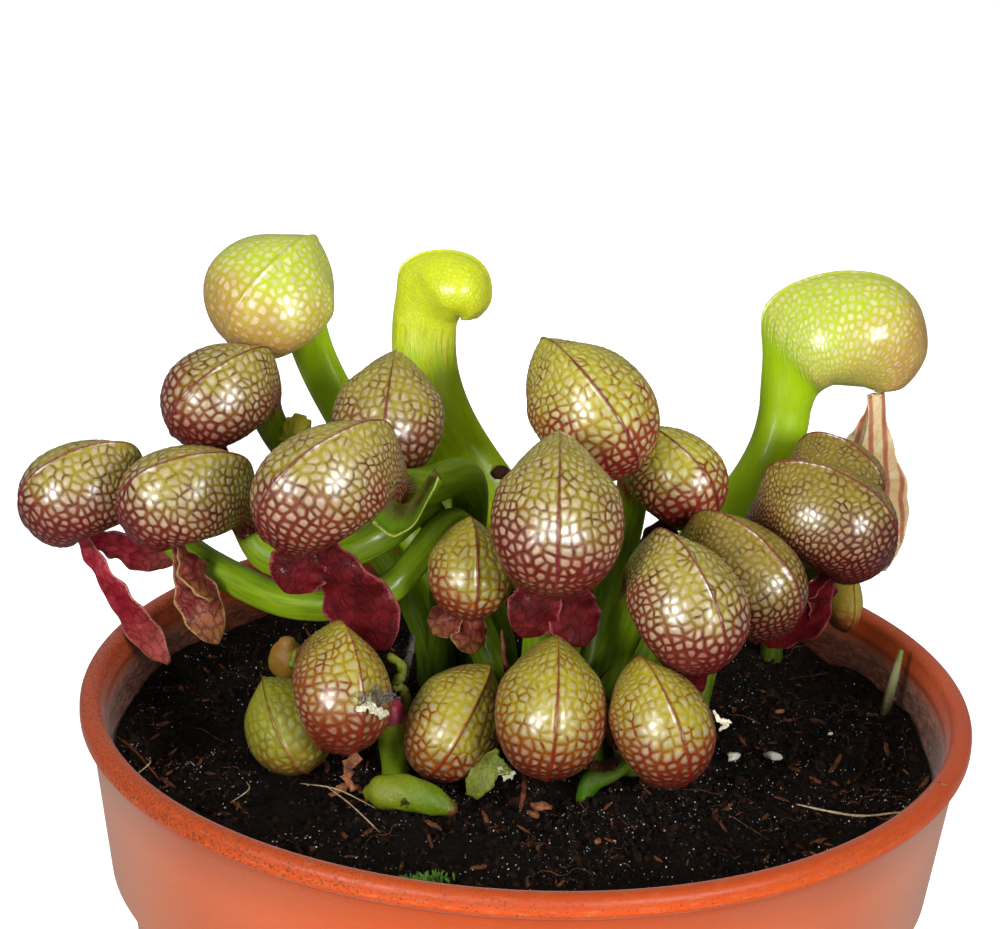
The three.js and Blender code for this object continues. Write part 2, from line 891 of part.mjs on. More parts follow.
function makeBlades(name, root, lobes, colour) {
  const solids = lobes.map((shape) => lobe(root, shape));
  const joined = solids.reduce((whole, next) => whole.add(next));
  return named(name, geometryFrom(joined), COLOURS[colour], BLADE_ROUGHNESS);
}

function makeTongue(pitcher) {
  const frame = hoodFrame(pitcher);
  const root = inHood(pitcher, frame, TONGUE_ROOT);
  root.addScaledVector(frame.dome, -(pitcher.seat ?? TONGUE_SEAT));
  return makeBlades("tongue_" + pitcher.name, root, pitcher.tongue, pitcher.tongueColour);
}

// A stub, bud or stalk: round rings square to the line through its places.
function makeStub(stub) {
  const places = stub.places.map(([x, y, rise, radius]) => ({
    centre: new THREE.Vector3(x, y, soilHeight(x, y) + rise),
    radius,
  }));
  if (stub.root) {
    const { centre, radius } = places[0];
    const below = centre.clone();
    below.z = soilHeight(centre.x, centre.y) - ROOTED;
    places.unshift({ centre: below, radius });
  }
  const path = new THREE.CatmullRomCurve3(places.map(({ centre }) => centre));
  const rings = places.map(({ centre, radius }, i) => {
    const tangent = i < 2 && stub.root ? UP : path.getTangent(i / (places.length - 1));
    const across = STUB_ASIDE.clone().addScaledVector(tangent, -STUB_ASIDE.dot(tangent)).normalize();
    const over = new THREE.Vector3().crossVectors(tangent, across);
    return Array.from({ length: STUB_SIDES }, (_, j) => {
      const angle = (-360 / STUB_SIDES) * j * RAD;
      return centre
        .clone()
        .addScaledVector(across, radius * Math.cos(angle))
        .addScaledVector(over, -radius * Math.sin(angle));
    });
  });
  return named(stub.name, skin(rings), COLOURS[stub.colour], STUB_ROUGHNESS);
}

const feet = [
  ...PITCHERS.map(({ foot, stem }) => [...foot, stem ?? TUBE_FOOT_RADIUS]),
  ...STUBS.filter(({ root }) => root).map(({ places }) => [...places[0].slice(0, 2), places[0][3]]),
];

const plant = new THREE.Group();
for (const pitcher of PITCHERS) {
  plant.add(makePitcher(pitcher));
  if (pitcher.tongue) plant.add(makeTongue(pitcher));
}
for (const { name, root, lobes, colour } of WINGS) {
  plant.add(makeBlades(name, new THREE.Vector3(...root), lobes, colour));
}
for (const stub of STUBS) plant.add(makeStub(stub));

const pottedPlant = new THREE.Group();
pottedPlant.add(makePot(), makeSoil(feet), plant);

export default pottedPlant;
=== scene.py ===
import math

import bmesh
import bpy
import numpy as np
from mathutils import Matrix, Vector, noise


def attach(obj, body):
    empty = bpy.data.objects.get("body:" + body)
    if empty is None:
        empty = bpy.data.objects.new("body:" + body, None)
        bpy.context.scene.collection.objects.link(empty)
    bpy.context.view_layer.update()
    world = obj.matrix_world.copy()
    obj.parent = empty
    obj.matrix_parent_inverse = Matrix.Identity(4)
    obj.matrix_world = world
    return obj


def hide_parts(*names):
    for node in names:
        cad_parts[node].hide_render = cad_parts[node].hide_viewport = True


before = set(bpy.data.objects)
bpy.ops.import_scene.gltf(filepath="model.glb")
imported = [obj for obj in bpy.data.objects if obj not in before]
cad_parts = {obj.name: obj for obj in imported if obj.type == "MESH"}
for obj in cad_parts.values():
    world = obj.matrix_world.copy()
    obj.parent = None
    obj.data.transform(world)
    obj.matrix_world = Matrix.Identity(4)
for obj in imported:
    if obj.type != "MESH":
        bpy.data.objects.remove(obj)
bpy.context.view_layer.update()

# The scene is worked out in millimetres, as the frame is, and made in metres.
MM = 0.001
GAP = 0.3
UP = np.array([0.0, 0.0, 1.0])

# The pot.
POT_HEIGHT = 105
LIP_RADIUS = 60
LIP_HEIGHT = 3.2
LIP_WIDTH = 3
LIP_ROUND = 1.2
COLLAR_TOP_RADIUS = 58.6
COLLAR_FOOT_RADIUS = 55.8
COLLAR_FOOT_Z = 81
BODY_TOP_RADIUS = 53
BODY_TOP_Z = 76
BASE_RADIUS = 43
BASE_ROUND = 1.5
POT_WALL = 1.8
FLOOR_THICKNESS = 2.2
STACKING_STEP = 0.6
DRAIN_HOLES = 6
DRAIN_RADIUS = 3.5
DRAIN_RING = 30
POT_SIDES = 216

# The peat.
SOIL_Z = 96
SOIL_RELIEF = 0.8
ROOTED = 4

# The pitchers, as in the part's source, at a finer step.
TUBE_FOOT_RADIUS = 2.3
FOOT_RISE = 1.5
TUBE_STEPS = 5
TUBE_PULL = 0.4
TUBE_FLARE = 1.4
KEEL = 0.5
KEEL_SPREAD = 46
OUTER_ALONG = [-0.4, -0.44, -0.5, -0.38, -0.12, 0.18, 0.4, 0.5, 0.42, 0.3]
OUTER_HIGH = [-0.54, -0.26, 0.02, 0.2, 0.33, 0.35, 0.22, -0.04, -0.25, -0.31]
INNER_ALONG = [-0.14, -0.12, -0.09, -0.04, 0.01, 0.06, 0.11, 0.16, 0.2, 0.24]
INNER_HIGH = [-0.54, -0.45, -0.4, -0.36, -0.35, -0.34, -0.33, -0.32, -0.32, -0.32]
HALF_WIDTH = [0.2, 0.25, 0.36, 0.46, 0.5, 0.5, 0.44, 0.34, 0.24, 0.1]
PEAK = [0, 0.35, 0.95, 0.7, 0.36, 0.16, 0.06, 0, 0, 0]
CHIN = len(HALF_WIDTH) - 1
RIDGE = 0.32
RIDGE_SPREAD = 9
THROAT = np.array([-0.12, -0.43])
CURL_ENDS = 2.2
CURL_SOFT = 0.12
WIDE_BEHIND = 0.15
WIDE_STATIONS = 4
WIDEST_THROAT = 0.2
DROOP_STATIONS = 5
BLADE = 0.8
LOBE_OUTLINE = [0.3, 0.36, 0.55, 0.8, 1, 1, 0.78, 0.3]
LOBE_BEND = 0.4
LOBE_DROP = 0.5
WAVE = 0.45
WAVE_TURN = 540
TONGUE_ROOT = (0.25, -0.33)
TONGUE_SEAT = 0.7

# foot and hood are places, turn, nod and roll the way that the hood faces, size its length
# and width; skin is its finish, cell the width of a mesh of its net, and flush how much further
# than usual the maroon has spread over it. A tongue lobe is the offset of its tip, its width and
# its way, and blade its finish, crimson where none is named.
PITCHERS = {
    "far_left": dict(
        foot=(-7, 11), hood=(-62, 10, 127.5), stem=1.6, turn=-80, nod=35, roll=-25, size=(18.5, 13.8),
        curl=5, via=[(-7.5, 11, 118), (-11, 9, 125.5), (-20, -1, 118.5), (-31, 1.5, 115.5), (-41, 8.5, 116),
             (-48, 13, 118)],
        tongue=[((13, -3, -18), 5, -20), ((13, 4, -5.5), 6, 10)], blade="rose"),
    "left": dict(
        foot=(-12, 13), hood=(-47, 2, 130.5), stem=2, turn=-85, nod=28, roll=-30, size=(19, 13.6), curl=10,
        via=[(-12.5, 13, 119), (-15.3, 9.6, 127), (-21, 4.3, 124.5), (-28.5, 2.4, 121.6),
             (-35.5, 4.6, 121)],
        tongue=[((6.5, -3, -14.5), 6, 20), ((5.5, -2.5, -8.5), 5, 60)], blade="mottled"),
    "left_back": dict(
        foot=(-14, 18.5), hood=(-43.5, 13, 141), stem=1.6, turn=-70, nod=40, roll=-40, size=(17.2, 14),
        curl=20, tongue=[((2, 2, -9), 4.5, 0)], seat=0.35, flush=0.1),
    "left_front": dict(
        foot=(-9, 16.5), hood=(-27.5, -10, 137.5), turn=-70, nod=42, roll=-32, size=(21.5, 15), curl=20,
        via=[(-9, 16.5, 118), (-9.5, 13.5, 129.8), (-15.5, 5.6, 131.2)],
        tongue=[((10, -3, -15), 10, -15), ((-4, -2, -8), 8, 15)], seat=1),
    "centre_left": dict(
        foot=(-3.5, 19), hood=(-20.4, 12.6, 138.7), turn=-10, nod=68, roll=-8, size=(17, 15), curl=35),
    "tall_left": dict(
        foot=(-12, 23), hood=(-37.8, 24.5, 152.1), turn=-60, nod=48, roll=-40, size=(18.4, 18), curl=30,
        stem=3.2, flare=0.6, tongue=[((-4.4, -1.4, -3.8), 3.6, -60)], blade="orange", seat=0.8,
        skin="lime", flush=0.1, net_from=0.2),
    "young": dict(
        foot=(4, 30), hood=(-13.3, 34, 151.5), turn=80, nod=12, roll=-10, size=(12.2, 11.4), curl=12,
        wide=0.6, deep=0.06, droop=0.05, stem=4, flare=0.6, skin="young", flush=-0.1, cell=1.0),
    "centre_back": dict(
        foot=(4, 13), hood=(7, 7, 143.5), turn=65, nod=48, roll=45, size=(21, 16), curl=30,
        skin="fresh", flush=-0.05),
    "centre": dict(
        foot=(1, 4), hood=(3, -13, 135), stem=2, turn=3, nod=69, roll=2, size=(20.8, 17), curl=40,
        tongue=[((-4, -1, -11), 7, -10), ((4.5, -1, -12), 7, 10)], seat=0.5, flush=0.1),
    "right_back": dict(
        foot=(9, 12), hood=(19, 11, 133), turn=68, nod=45, roll=32, size=(16, 12.8), curl=30,
        tongue=[((-4, -3, -7), 5, 10)], seat=0.5, skin="fresh", flush=0.02),
    "right": dict(
        foot=(12, 5), hood=(28.5, -1, 123.9), turn=67, nod=46, roll=22, size=(19.5, 14), curl=20,
        skin="dark", flush=-0.13, cell=1.15),
    "right_front": dict(
        foot=(9, -2), hood=(20.6, -13.3, 124.3), turn=50, nod=60, roll=22, size=(19.2, 15), curl=30,
        tongue=[((3.5, 5, -9), 5.5, 30)], seat=0.5, flush=0.08),
    "far_right": dict(
        foot=(17, 9), hood=(39.8, 7.5, 129.3), turn=77, nod=32, roll=18, size=(20.5, 14.6), curl=5,
        tongue=[((-8, 2, -13), 9.6, 10), ((-2, 3, -9), 5, 50)], seat=0.2,
        skin="dark", cell=1.15),
    "far_right_back": dict(
        foot=(24, 12), hood=(42.3, 21, 130.2), stem=1.6, turn=70, nod=42, roll=10, size=(14, 12), curl=20,
        skin="dark", flush=-0.3, cell=1.0),
    "tall_right": dict(
        foot=(16, 27), hood=(43.2, 37, 146.3), turn=92, nod=8, roll=-12, size=(23, 15.4), curl=3,
        deep=0.06, droop=0.03, stem=4.2, flare=0.5,
        tongue=[((3.5, 3, -28), 8.4, 10), ((-2.5, 4, -17), 5.4, -10)],
        blade="cream", seat=0.95, skin="lime", cell=1.3, net_from=0.9),
    "low_left": dict(
        foot=(-17, -3.5), hood=(-23.6, -17.5, 111.6), turn=15, nod=68, roll=-12, size=(17, 12.8), curl=20,
        skin="ochre", flush=0.08),
    "low_centre_left": dict(
        foot=(-9.5, -0.5), hood=(-8.9, -12.5, 105.3), turn=-55, nod=56, roll=-60, size=(17, 12.6), curl=10,
        skin="ochre", flush=-0.18),
    "low_centre": dict(
        foot=(3, -6), hood=(3.4, -20, 111.2), turn=-5, nod=70, roll=-10, size=(18.4, 14.4), curl=20,
        skin="ochre", flush=-0.08),
    "low_right": dict(
        foot=(14.5, -4.5), hood=(17.7, -21.6, 110.9), turn=48, nod=60, roll=28, size=(17.2, 12.8), curl=20,
        skin="ochre", flush=-0.04),
    "inner": dict(
        foot=(-3, 3), hood=(-8, -4, 123.5), turn=6, nod=68, roll=-6, size=(13.2, 11.3), curl=35,
        tongue=[((-4, -1, -5.5), 4.6, -10), ((1.5, -1, -8), 5, 10)], blade="mottled",
        skin="ochre", flush=-0.15),
    "green_low": dict(
        foot=(-25, -1.5), hood=(-31.5, -13, 104), stem=1.6, turn=55, nod=56, roll=60, size=(13.8, 11.4),
        skin="moss_green", flush=-0.1),
    "bud_right": dict(
        foot=(35.5, 33.5), hood=(43.8, 19, 113), turn=20, nod=80, roll=0, size=(10.5, 5), stem=1.6,
        skin="bud", flush=-0.1),
}
HOOD_SLOTS = {"net": "hood_net", "fresh": "hood_net", "dark": "hood_dark", "ochre": "hood_ochre",
              "moss_green": "hood_ochre", "bud": "hood_ochre", "lime": "hood_lime", "young": "hood_lime"}
RELIEF = {"lime": 0.04, "young": 0.03, "ochre": 0.035, "moss_green": 0.03, "bud": 0.03}
BLADE_SLOTS = {"rose": "tongue_crimson", "crimson": "tongue_crimson", "mottled": "tongue_mottled",
               "orange": "tongue_orange", "cream": "tongue_cream"}

# Short limbs round the crown: rows of x, y, height above the peat and radius.
STUBS = {
    "stub_lying": [(-19.6, -20.8, 2.4, 1.2), (-18.2, -21.4, 2.5, 2.2), (-14.6, -22.6, 2.4, 2.3),
                   (-11.4, -23.2, 2.1, 1.9), (-9, -23.4, 1.8, 1)],
    "stub_upright": [(-17, -9.6, 0.5, 1.9), (-17.2, -10, 4, 2.1), (-17.5, -10.6, 8, 2.1),
                     (-17.7, -11, 10.4, 1.4)],
    "stub_hooked": [(8.6, -13.4, 0.5, 1.3), (9.4, -13.2, 2, 1.4), (12, -12, 2.6, 1.4),
                    (13.6, -10.6, 4, 1.3), (12.6, -9.8, 5.6, 0.8)],
    "bud_left": [(-31.5, 2, 0.5, 1.1), (-31.8, 1.6, 4, 1.2), (-32.2, 0.8, 8, 1.6),
                 (-32.4, 0.2, 9.5, 2.4), (-32.5, -0.4, 11.5, 2.3), (-32.5, -0.9, 13.2, 1.2)],
    "dry_stalk": [(50.6, 15, 0.5, 0.8), (51, 15.4, 3, 0.7), (51.6, 16, 6, 0.6), (52.2, 16.6, 9, 0.4)],
}
LYING = "stub_lying"


# Numbers and curves.
def unit(v):
    return v / np.linalg.norm(v, axis=-1, keepdims=True)


def smooth(low, high, value):
    share = np.clip((value - low) / (high - low), 0, 1)
    return share * share * (3 - 2 * share)


def around(count):
    """Even turns round a circle."""
    return 2 * math.pi * np.arange(count) / count


def vectors(*parts):
    """Parts, stretched over one another, as one array of vectors."""
    return np.stack(np.broadcast_arrays(*parts), -1)


def way_along(places):
    """How far along its line each of the places lies."""
    return np.concatenate([[0], np.cumsum(np.linalg.norm(np.diff(places, axis=0), axis=1))])


def along(values, index):
    """Values of an evenly spaced list, of numbers or places, at real indices on a smooth curve."""
    values = np.asarray(values, float)
    index = np.asarray(index, float)
    first, last = 2 * values[:1] - values[1:2], 2 * values[-1:] - values[-2:-1]
    padded = np.concatenate([first, values, last])
    i = np.clip(np.floor(index).astype(int), 0, len(values) - 2)
    t = index - i
    if values.ndim > 1:
        t = t[..., None]
    before, here, there, after = (padded[i + k] for k in range(4))
    rise, fall, step = (there - before) / 2, (after - here) / 2, there - here
    return here + t * (rise + t * (3 * step - 2 * rise - fall + t * (rise + fall - 2 * step)))


def curve_through(places, shares):
    """Places on a smooth curve that bends evenly through the given ones."""
    places = np.asarray(places, float)
    padded = np.vstack([2 * places[0] - places[1], places, 2 * places[-1] - places[-2]])
    knots = np.sqrt(np.linalg.norm(np.diff(padded, axis=0), axis=1))
    spot = np.clip(np.asarray(shares, float), 0, 1) * (len(places) - 1)
    i = np.clip(np.floor(spot).astype(int), 0, len(places) - 2)
    w = (spot - i)[:, None]
    a, b, c, d = (padded[i + k] for k in range(4))
    p, q, r = (knots[i + k][:, None] for k in range(3))
    leave = ((b - a) / p - (c - a) / (p + q) + (c - b) / q) * q
    arrive = ((c - b) / q - (d - b) / (q + r) + (d - c) / r) * q
    return b + w * (leave + w * (3 * (c - b) - 2 * leave - arrive + w * (2 * (b - c) + leave + arrive)))


def soil_height(x, y):
    swell = np.sin(x * 0.19 + 1.3) * np.cos(y * 0.16) + 0.6 * np.sin(0.33 * x - 0.27 * y)
    return SOIL_Z + SOIL_RELIEF * swell


def inner_radius(z):
    heights = [FLOOR_THICKNESS, BODY_TOP_Z, COLLAR_FOOT_Z, POT_HEIGHT]
    radii = [BASE_RADIUS - POT_WALL, BODY_TOP_RADIUS - POT_WALL,
             COLLAR_FOOT_RADIUS - POT_WALL - STACKING_STEP, LIP_RADIUS - LIP_WIDTH]
    return np.interp(z, heights, radii)


# Meshes.
def volume_of(points, faces):
    total = 0.0
    for face in faces:
        a = points[face[:, 0]]
        for k in range(1, face.shape[1] - 1):
            total += np.einsum("ij,ij->i", a, np.cross(points[face[:, k]], points[face[:, k + 1]])).sum()
    return total


def outward(points, faces):
    return [face[:, ::-1] for face in faces] if volume_of(points, faces) < 0 else faces


def joined(parts):
    """Several closed skins, each of points and faces, as one."""
    points, faces, count = [], [], 0
    for own_points, own_faces in parts:
        points.append(own_points)
        faces.extend(face + count for face in outward(own_points, own_faces))
        count += len(own_points)
    return np.vstack(points), faces


def solid(name, points, faces, layers=None):
    """A closed smooth mesh, in metres, from places in millimetres; layers are vectors for its finish."""
    faces = outward(points, faces)
    mesh = bpy.data.meshes.new(name)
    mesh.from_pydata((points * MM).tolist(), [], [row for face in faces for row in face.tolist()])
    for label, values in (layers or {}).items():
        layer = mesh.attributes.new(label, "FLOAT_VECTOR", "POINT")
        layer.data.foreach_set("vector", np.ascontiguousarray(values, dtype=np.float32).ravel())
    mesh.shade_smooth()
    mesh.update()
    piece = bpy.data.objects.new(name, mesh)
    bpy.context.scene.collection.objects.link(piece)
    return piece


def ring_faces(rows, columns, start=0):
    """The quads between rows of rings, and a fan over each end from a point that follows the rings."""
    j = np.arange(columns)
    after = (j + 1) % columns
    i = np.arange(rows - 1)[:, None] * columns + start
    quads = np.stack([i + j, i + after, i + columns + after, i + columns + j], axis=-1).reshape(-1, 4)
    top = (rows - 1) * columns + start
    ends = rows * columns + start
    foot = np.stack([np.full(columns, ends), start + after, start + j], axis=-1)
    head = np.stack([np.full(columns, ends + 1), top + j, top + after], axis=-1)
    return [quads, np.vstack([foot, head])]


def with_ends(rings):
    """The ring points as one list, with the middle of the first and of the last ring after them."""
    return np.vstack([rings.reshape(-1, rings.shape[-1]), rings[0].mean(0), rings[-1].mean(0)])


def two_sided(sheet, normal, half_thickness):
    """The rings round a sheet that is thick to both sides; half_thickness is that of each column."""
    skin = normal * half_thickness[None, :, None]
    return np.concatenate([sheet + skin, (sheet - skin)[:, ::-1]], axis=1)


def tube_rings(middle, across, over, girth, columns):
    """Rings round a line of places; girth is the radius of each ring, or of each point."""
    angle = around(columns)[None, :, None]
    ring = np.cos(angle) * across[:, None] + np.sin(angle) * over[:, None]
    return middle[:, None] + girth[..., None] * ring


def finish_piece(piece, replaced, slot, *materials):
    """Gives a piece its material, hangs it under the root body and hides the part that it replaces; slot is
    not used.
    """
    for material in materials:
        piece.data.materials.append(material)
    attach(piece, "root")
    if replaced:
        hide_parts(replaced)
    return piece


# The pitchers.
def hood_frame(p):
    """The middle of a hood, and its ways ahead, out of the dome and aside."""
    turn, nod, roll = (math.radians(p[way]) for way in ("turn", "nod", "roll"))
    level = np.array([math.sin(turn), -math.cos(turn), 0])
    ahead = level * math.cos(nod) - UP * math.sin(nod)
    upright = level * math.sin(nod) + UP * math.cos(nod)
    dome = upright * math.cos(roll) + np.cross(ahead, upright) * math.sin(roll)
    return np.array(p["hood"], float), ahead, dome, np.cross(ahead, dome)


def curl_share(station):
    left = 1 - station / CURL_ENDS
    soft = (np.clip(left, -CURL_SOFT, CURL_SOFT) + CURL_SOFT) ** 2 / (4 * CURL_SOFT)
    return np.where(left > CURL_SOFT, left, soft)


def turned(flat, middle, angle):
    """Flat places turned about a middle, each by its own angle."""
    x, y = (flat - middle).T
    return middle + np.stack([x * np.cos(angle) - y * np.sin(angle),
                              x * np.sin(angle) + y * np.cos(angle)], -1)


def hood_sections(p, axes, station):
    """Centre, back, side, reach, half width, peak, ridge and keel at the stations of a hood."""
    centre, ahead, dome, side = axes
    length, width = p["size"]
    wide = p.get("wide", 0)
    curl = math.radians(p.get("curl", 0)) * curl_share(station)
    throat = np.array([min(THROAT[0] + wide, WIDEST_THROAT), THROAT[1]])
    behind = -(WIDE_BEHIND * wide + p.get("deep", 0)) * np.maximum(0, 1 - station / WIDE_STATIONS)
    drooped = p.get("droop", 0) * np.maximum(0, 1 - (CHIN - station) / DROOP_STATIONS)
    forward = (1 - WIDE_BEHIND) * wide * (1 - station / CHIN)
    furthest = WIDEST_THROAT + (INNER_ALONG[-1] - WIDEST_THROAT) * station / CHIN
    outer = np.stack([along(OUTER_ALONG, station) + behind, along(OUTER_HIGH, station) - drooped], -1)
    inner = np.stack([np.minimum(along(INNER_ALONG, station) + forward, furthest),
                      along(INNER_HIGH, station) - drooped], -1)
    outer, inner = (turned(line, throat, curl) * length for line in (outer, inner))
    outer, inner = (centre + line[:, :1] * ahead + line[:, 1:] * dome for line in (outer, inner))
    back = outer - inner
    reach = np.linalg.norm(back, axis=1) / 2
    return dict(centre=(outer + inner) / 2, back=unit(back), side=np.tile(side, (len(station), 1)),
                reach=reach, half=along(HALF_WIDTH, station) * width,
                peak=np.maximum(0, along(PEAK, station)), ridge=RIDGE * smooth(1.2, 2.2, station),
                keel=np.zeros(len(station)))


def swung(v, a, b):
    """v turned by the least turn that takes the direction a to b."""
    axis = np.cross(a, b)
    return v + np.cross(axis, v) + np.cross(axis, np.cross(axis, v)) / (1 + a @ b)


def tube_sections(p, axes, neck, shares):
    """The same at shares of the tube, from its foot to its neck, which is the hood's first station."""
    _, ahead, dome, side = axes
    x, y = p["foot"]
    soil = float(soil_height(x, y))
    start = np.array([x, y, soil + FOOT_RISE])
    curl = math.radians(p.get("curl", 0))
    arriving = dome * math.cos(curl) - ahead * math.sin(curl)
    end = neck["centre"][0]
    pull = np.linalg.norm(end - start) * TUBE_PULL
    if "via" in p:
        path = lambda t: curve_through([start, *p["via"], end], t)
    else:
        corners = [start, start + UP * pull, end - arriving * pull, end]
        weights = lambda t: [(1 - t) ** 3, 3 * t * (1 - t) ** 2, 3 * t * t * (1 - t), t ** 3]
        path = lambda t: sum(w[:, None] * c for w, c in zip(weights(np.asarray(t)), corners))
    step = 1e-4
    heading = lambda t: unit(path(np.minimum(t + step, 1)) - path(np.maximum(t - step, 0)))
    steps = TUBE_STEPS + len(p.get("via", []))
    knots = heading(np.arange(steps) / steps)
    knots[0] = UP
    sides, above = [side], arriving
    for tangent in knots[::-1]:
        sides.insert(0, swung(sides[0], above, tangent))
        above = tangent
    tangent = heading(shares)
    late = smooth(steps - 1, steps, shares * steps)[:, None]
    early = 1 - smooth(0, 1, shares * steps)[:, None]
    tangent = unit(tangent * (1 - late) * (1 - early) + arriving * late + UP * early)
    lean = along(np.array(sides), shares * steps)
    lean = unit(lean - tangent * np.sum(lean * tangent, 1, keepdims=True))
    radius = p.get("stem", TUBE_FOOT_RADIUS)
    grown = shares ** p.get("flare", TUBE_FLARE)
    flat = np.zeros(len(shares))
    return dict(centre=path(shares), back=np.cross(lean, tangent), side=lean,
                reach=radius + (neck["reach"][0] - radius) * grown,
                half=radius + (neck["half"][0] - radius) * grown,
                peak=flat, ridge=flat, keel=KEEL * np.sin(shares * math.pi))


def rings_of(s, angles):
    """The rings round the sections: peak sharpens the back, ridge and keel stand out of back and front."""
    c, sn = np.cos(angles), np.sin(angles)
    col = {key: s[key][:, None] for key in ("reach", "half", "peak", "ridge", "keel")}
    widest = -col["peak"] / (2 + col["peak"])
    scale = np.sqrt(1 - widest ** 2) * ((1 - widest) / 2) ** (col["peak"] / 2)
    pinch = ((1 - c) / 2) ** (col["peak"] / 2) / scale
    from_back = np.abs(np.degrees((angles + math.pi) % (2 * math.pi) - math.pi))
    ridge = np.maximum(0, 1 - from_back / RIDGE_SPREAD) ** 1.5
    keel = np.maximum(0, np.cos(np.radians(180 - from_back) * 90 / KEEL_SPREAD)) ** 2
    keel = np.where(180 - from_back < KEEL_SPREAD, keel, 0)
    out = col["reach"] * c + col["ridge"] * ridge - col["keel"] * keel
    aside = col["half"] * sn * pinch
    centre, back, side = (s[key][:, None] for key in ("centre", "back", "side"))
    return centre + out[..., None] * back + aside[..., None] * side


COLUMNS = 88
CROWDING = 0.45
HOOD_ROWS = 100
ROW_LENGTH = 1.5
NET_CENTRE = -0.12
NET_HIGH = 0.47
NET_REACH = 1.2
NET_RANDOM = 0.68
NET_FROM = -1.1
NET_FADE = 1.8
NET_CELL = 1.45
NET_WANDER = 0.16
NET_RELIEF = 0.075
PROBES = 40
FEWEST_ROWS = 14
TUBE_CLIMB = 5
CHIN_CAPS = [25, 50, 72]
UNDERSIDE = 42


def make_pitcher(name, p, seed):
    """A pitcher as one closed skin, with the layers that its finish reads: net holds the place in
    the net, in meshes, and the way from the midrib; place the share from crest to nose, the turn
    from the top of the dome and the share that is hood; stem the way round and along the tube and
    how near the mouth is; lie how far down a point lies, in widths of the hood."""
    axes = hood_frame(p)
    centre, ahead, dome, side = axes
    length, width = p["size"]
    share = np.arange(COLUMNS) / COLUMNS
    angles = 2 * math.pi * share - CROWDING * np.sin(2 * math.pi * share)
    station = CHIN * (np.arange(HOOD_ROWS) / (HOOD_ROWS - 1))
    hood = hood_sections(p, axes, station)
    probe = tube_sections(p, axes, hood, np.linspace(0, 1, PROBES))["centre"]
    rows = max(FEWEST_ROWS, int(way_along(probe)[-1] / ROW_LENGTH))
    shares = np.arange(rows) / rows
    tube = tube_sections(p, axes, hood, shares)
    sections = {key: np.concatenate([tube[key], hood[key]]) for key in tube}
    rings = rings_of(sections, angles)
    below = rings[:1].copy()
    below[..., 2] = float(soil_height(*p["foot"])) - ROOTED
    last, inward = rings[-1], sections["centre"][-1]
    onward = unit(sections["centre"][-1] - sections["centre"][-4])
    swell = 0.7 * min(sections["reach"][-1], sections["half"][-1])
    caps = [inward + (last - inward) * math.cos(a) + onward * swell * math.sin(a)
            for a in np.radians(CHIN_CAPS)]
    rings = np.concatenate([below, rings, caps])
    climb = np.concatenate([[-TUBE_CLIMB], (shares - 1) * TUBE_CLIMB, station, [CHIN] * len(CHIN_CAPS)])
    points = with_ends(rings)

    local = points - centre
    facing = unit(vectors(local @ ahead / (length / 2), local @ side / (width / 2),
                          (local @ dome - NET_CENTRE * length) / (NET_HIGH * length)))
    spread = (1 + NET_REACH) / (NET_REACH + facing[:, 2])
    cell = p.get("cell", NET_CELL)
    net_u = facing[:, 0] * spread * length / 2 / cell + seed * 17.3
    net_v = facing[:, 1] * spread * width / 2 / cell + seed * 9.1
    wander_u = NET_WANDER * np.sin(1.3 * net_v + 0.5 * net_u + seed)
    wander_v = NET_WANDER * np.sin(1.2 * net_u - 0.6 * net_v + seed)
    gaps = np.linalg.norm(np.diff(np.concatenate([rings, rings[:, :1]], 1), axis=1), axis=2)
    way = np.concatenate([np.zeros((len(rings), 1)), np.cumsum(gaps, 1)[:, :-1]], 1)
    round_way = np.minimum(way, gaps.sum(1, keepdims=True) - way)
    under = np.exp(-((np.degrees(angles) - 180) / UNDERSIDE) ** 2) * smooth(1.5, 3, climb)[:, None]

    def ends(grid):
        grid = np.broadcast_to(grid, way.shape)
        return np.concatenate([grid.ravel(), [grid[0].mean(), grid[-1].mean()]])

    net_from = p.get("net_from", NET_FROM)
    hooded = ends(smooth(net_from, net_from + NET_FADE, climb)[:, None])
    return solid(name, points, ring_faces(len(rings), COLUMNS), {
        "lie": vectors((centre[2] - points[:, 2]) / width, 0, 0),
        "net": vectors(net_u + wander_u, net_v + wander_v, ends(round_way)),
        "place": vectors(local @ ahead / length + 0.5, np.arccos(np.clip(facing[:, 2], -1, 1)) / math.pi,
                         hooded),
        "stem": vectors(ends(round_way * np.where(angles > math.pi, -1, 1)),
                        ends(way_along(rings.mean(1))[:, None]), ends(under))})


# The tongues and the loose wing: waved blades, thick in the middle and thin at the edge.
LOBE_ROWS = 44
LOBE_COLUMNS = 15
LOBE_THINNING = 0.72


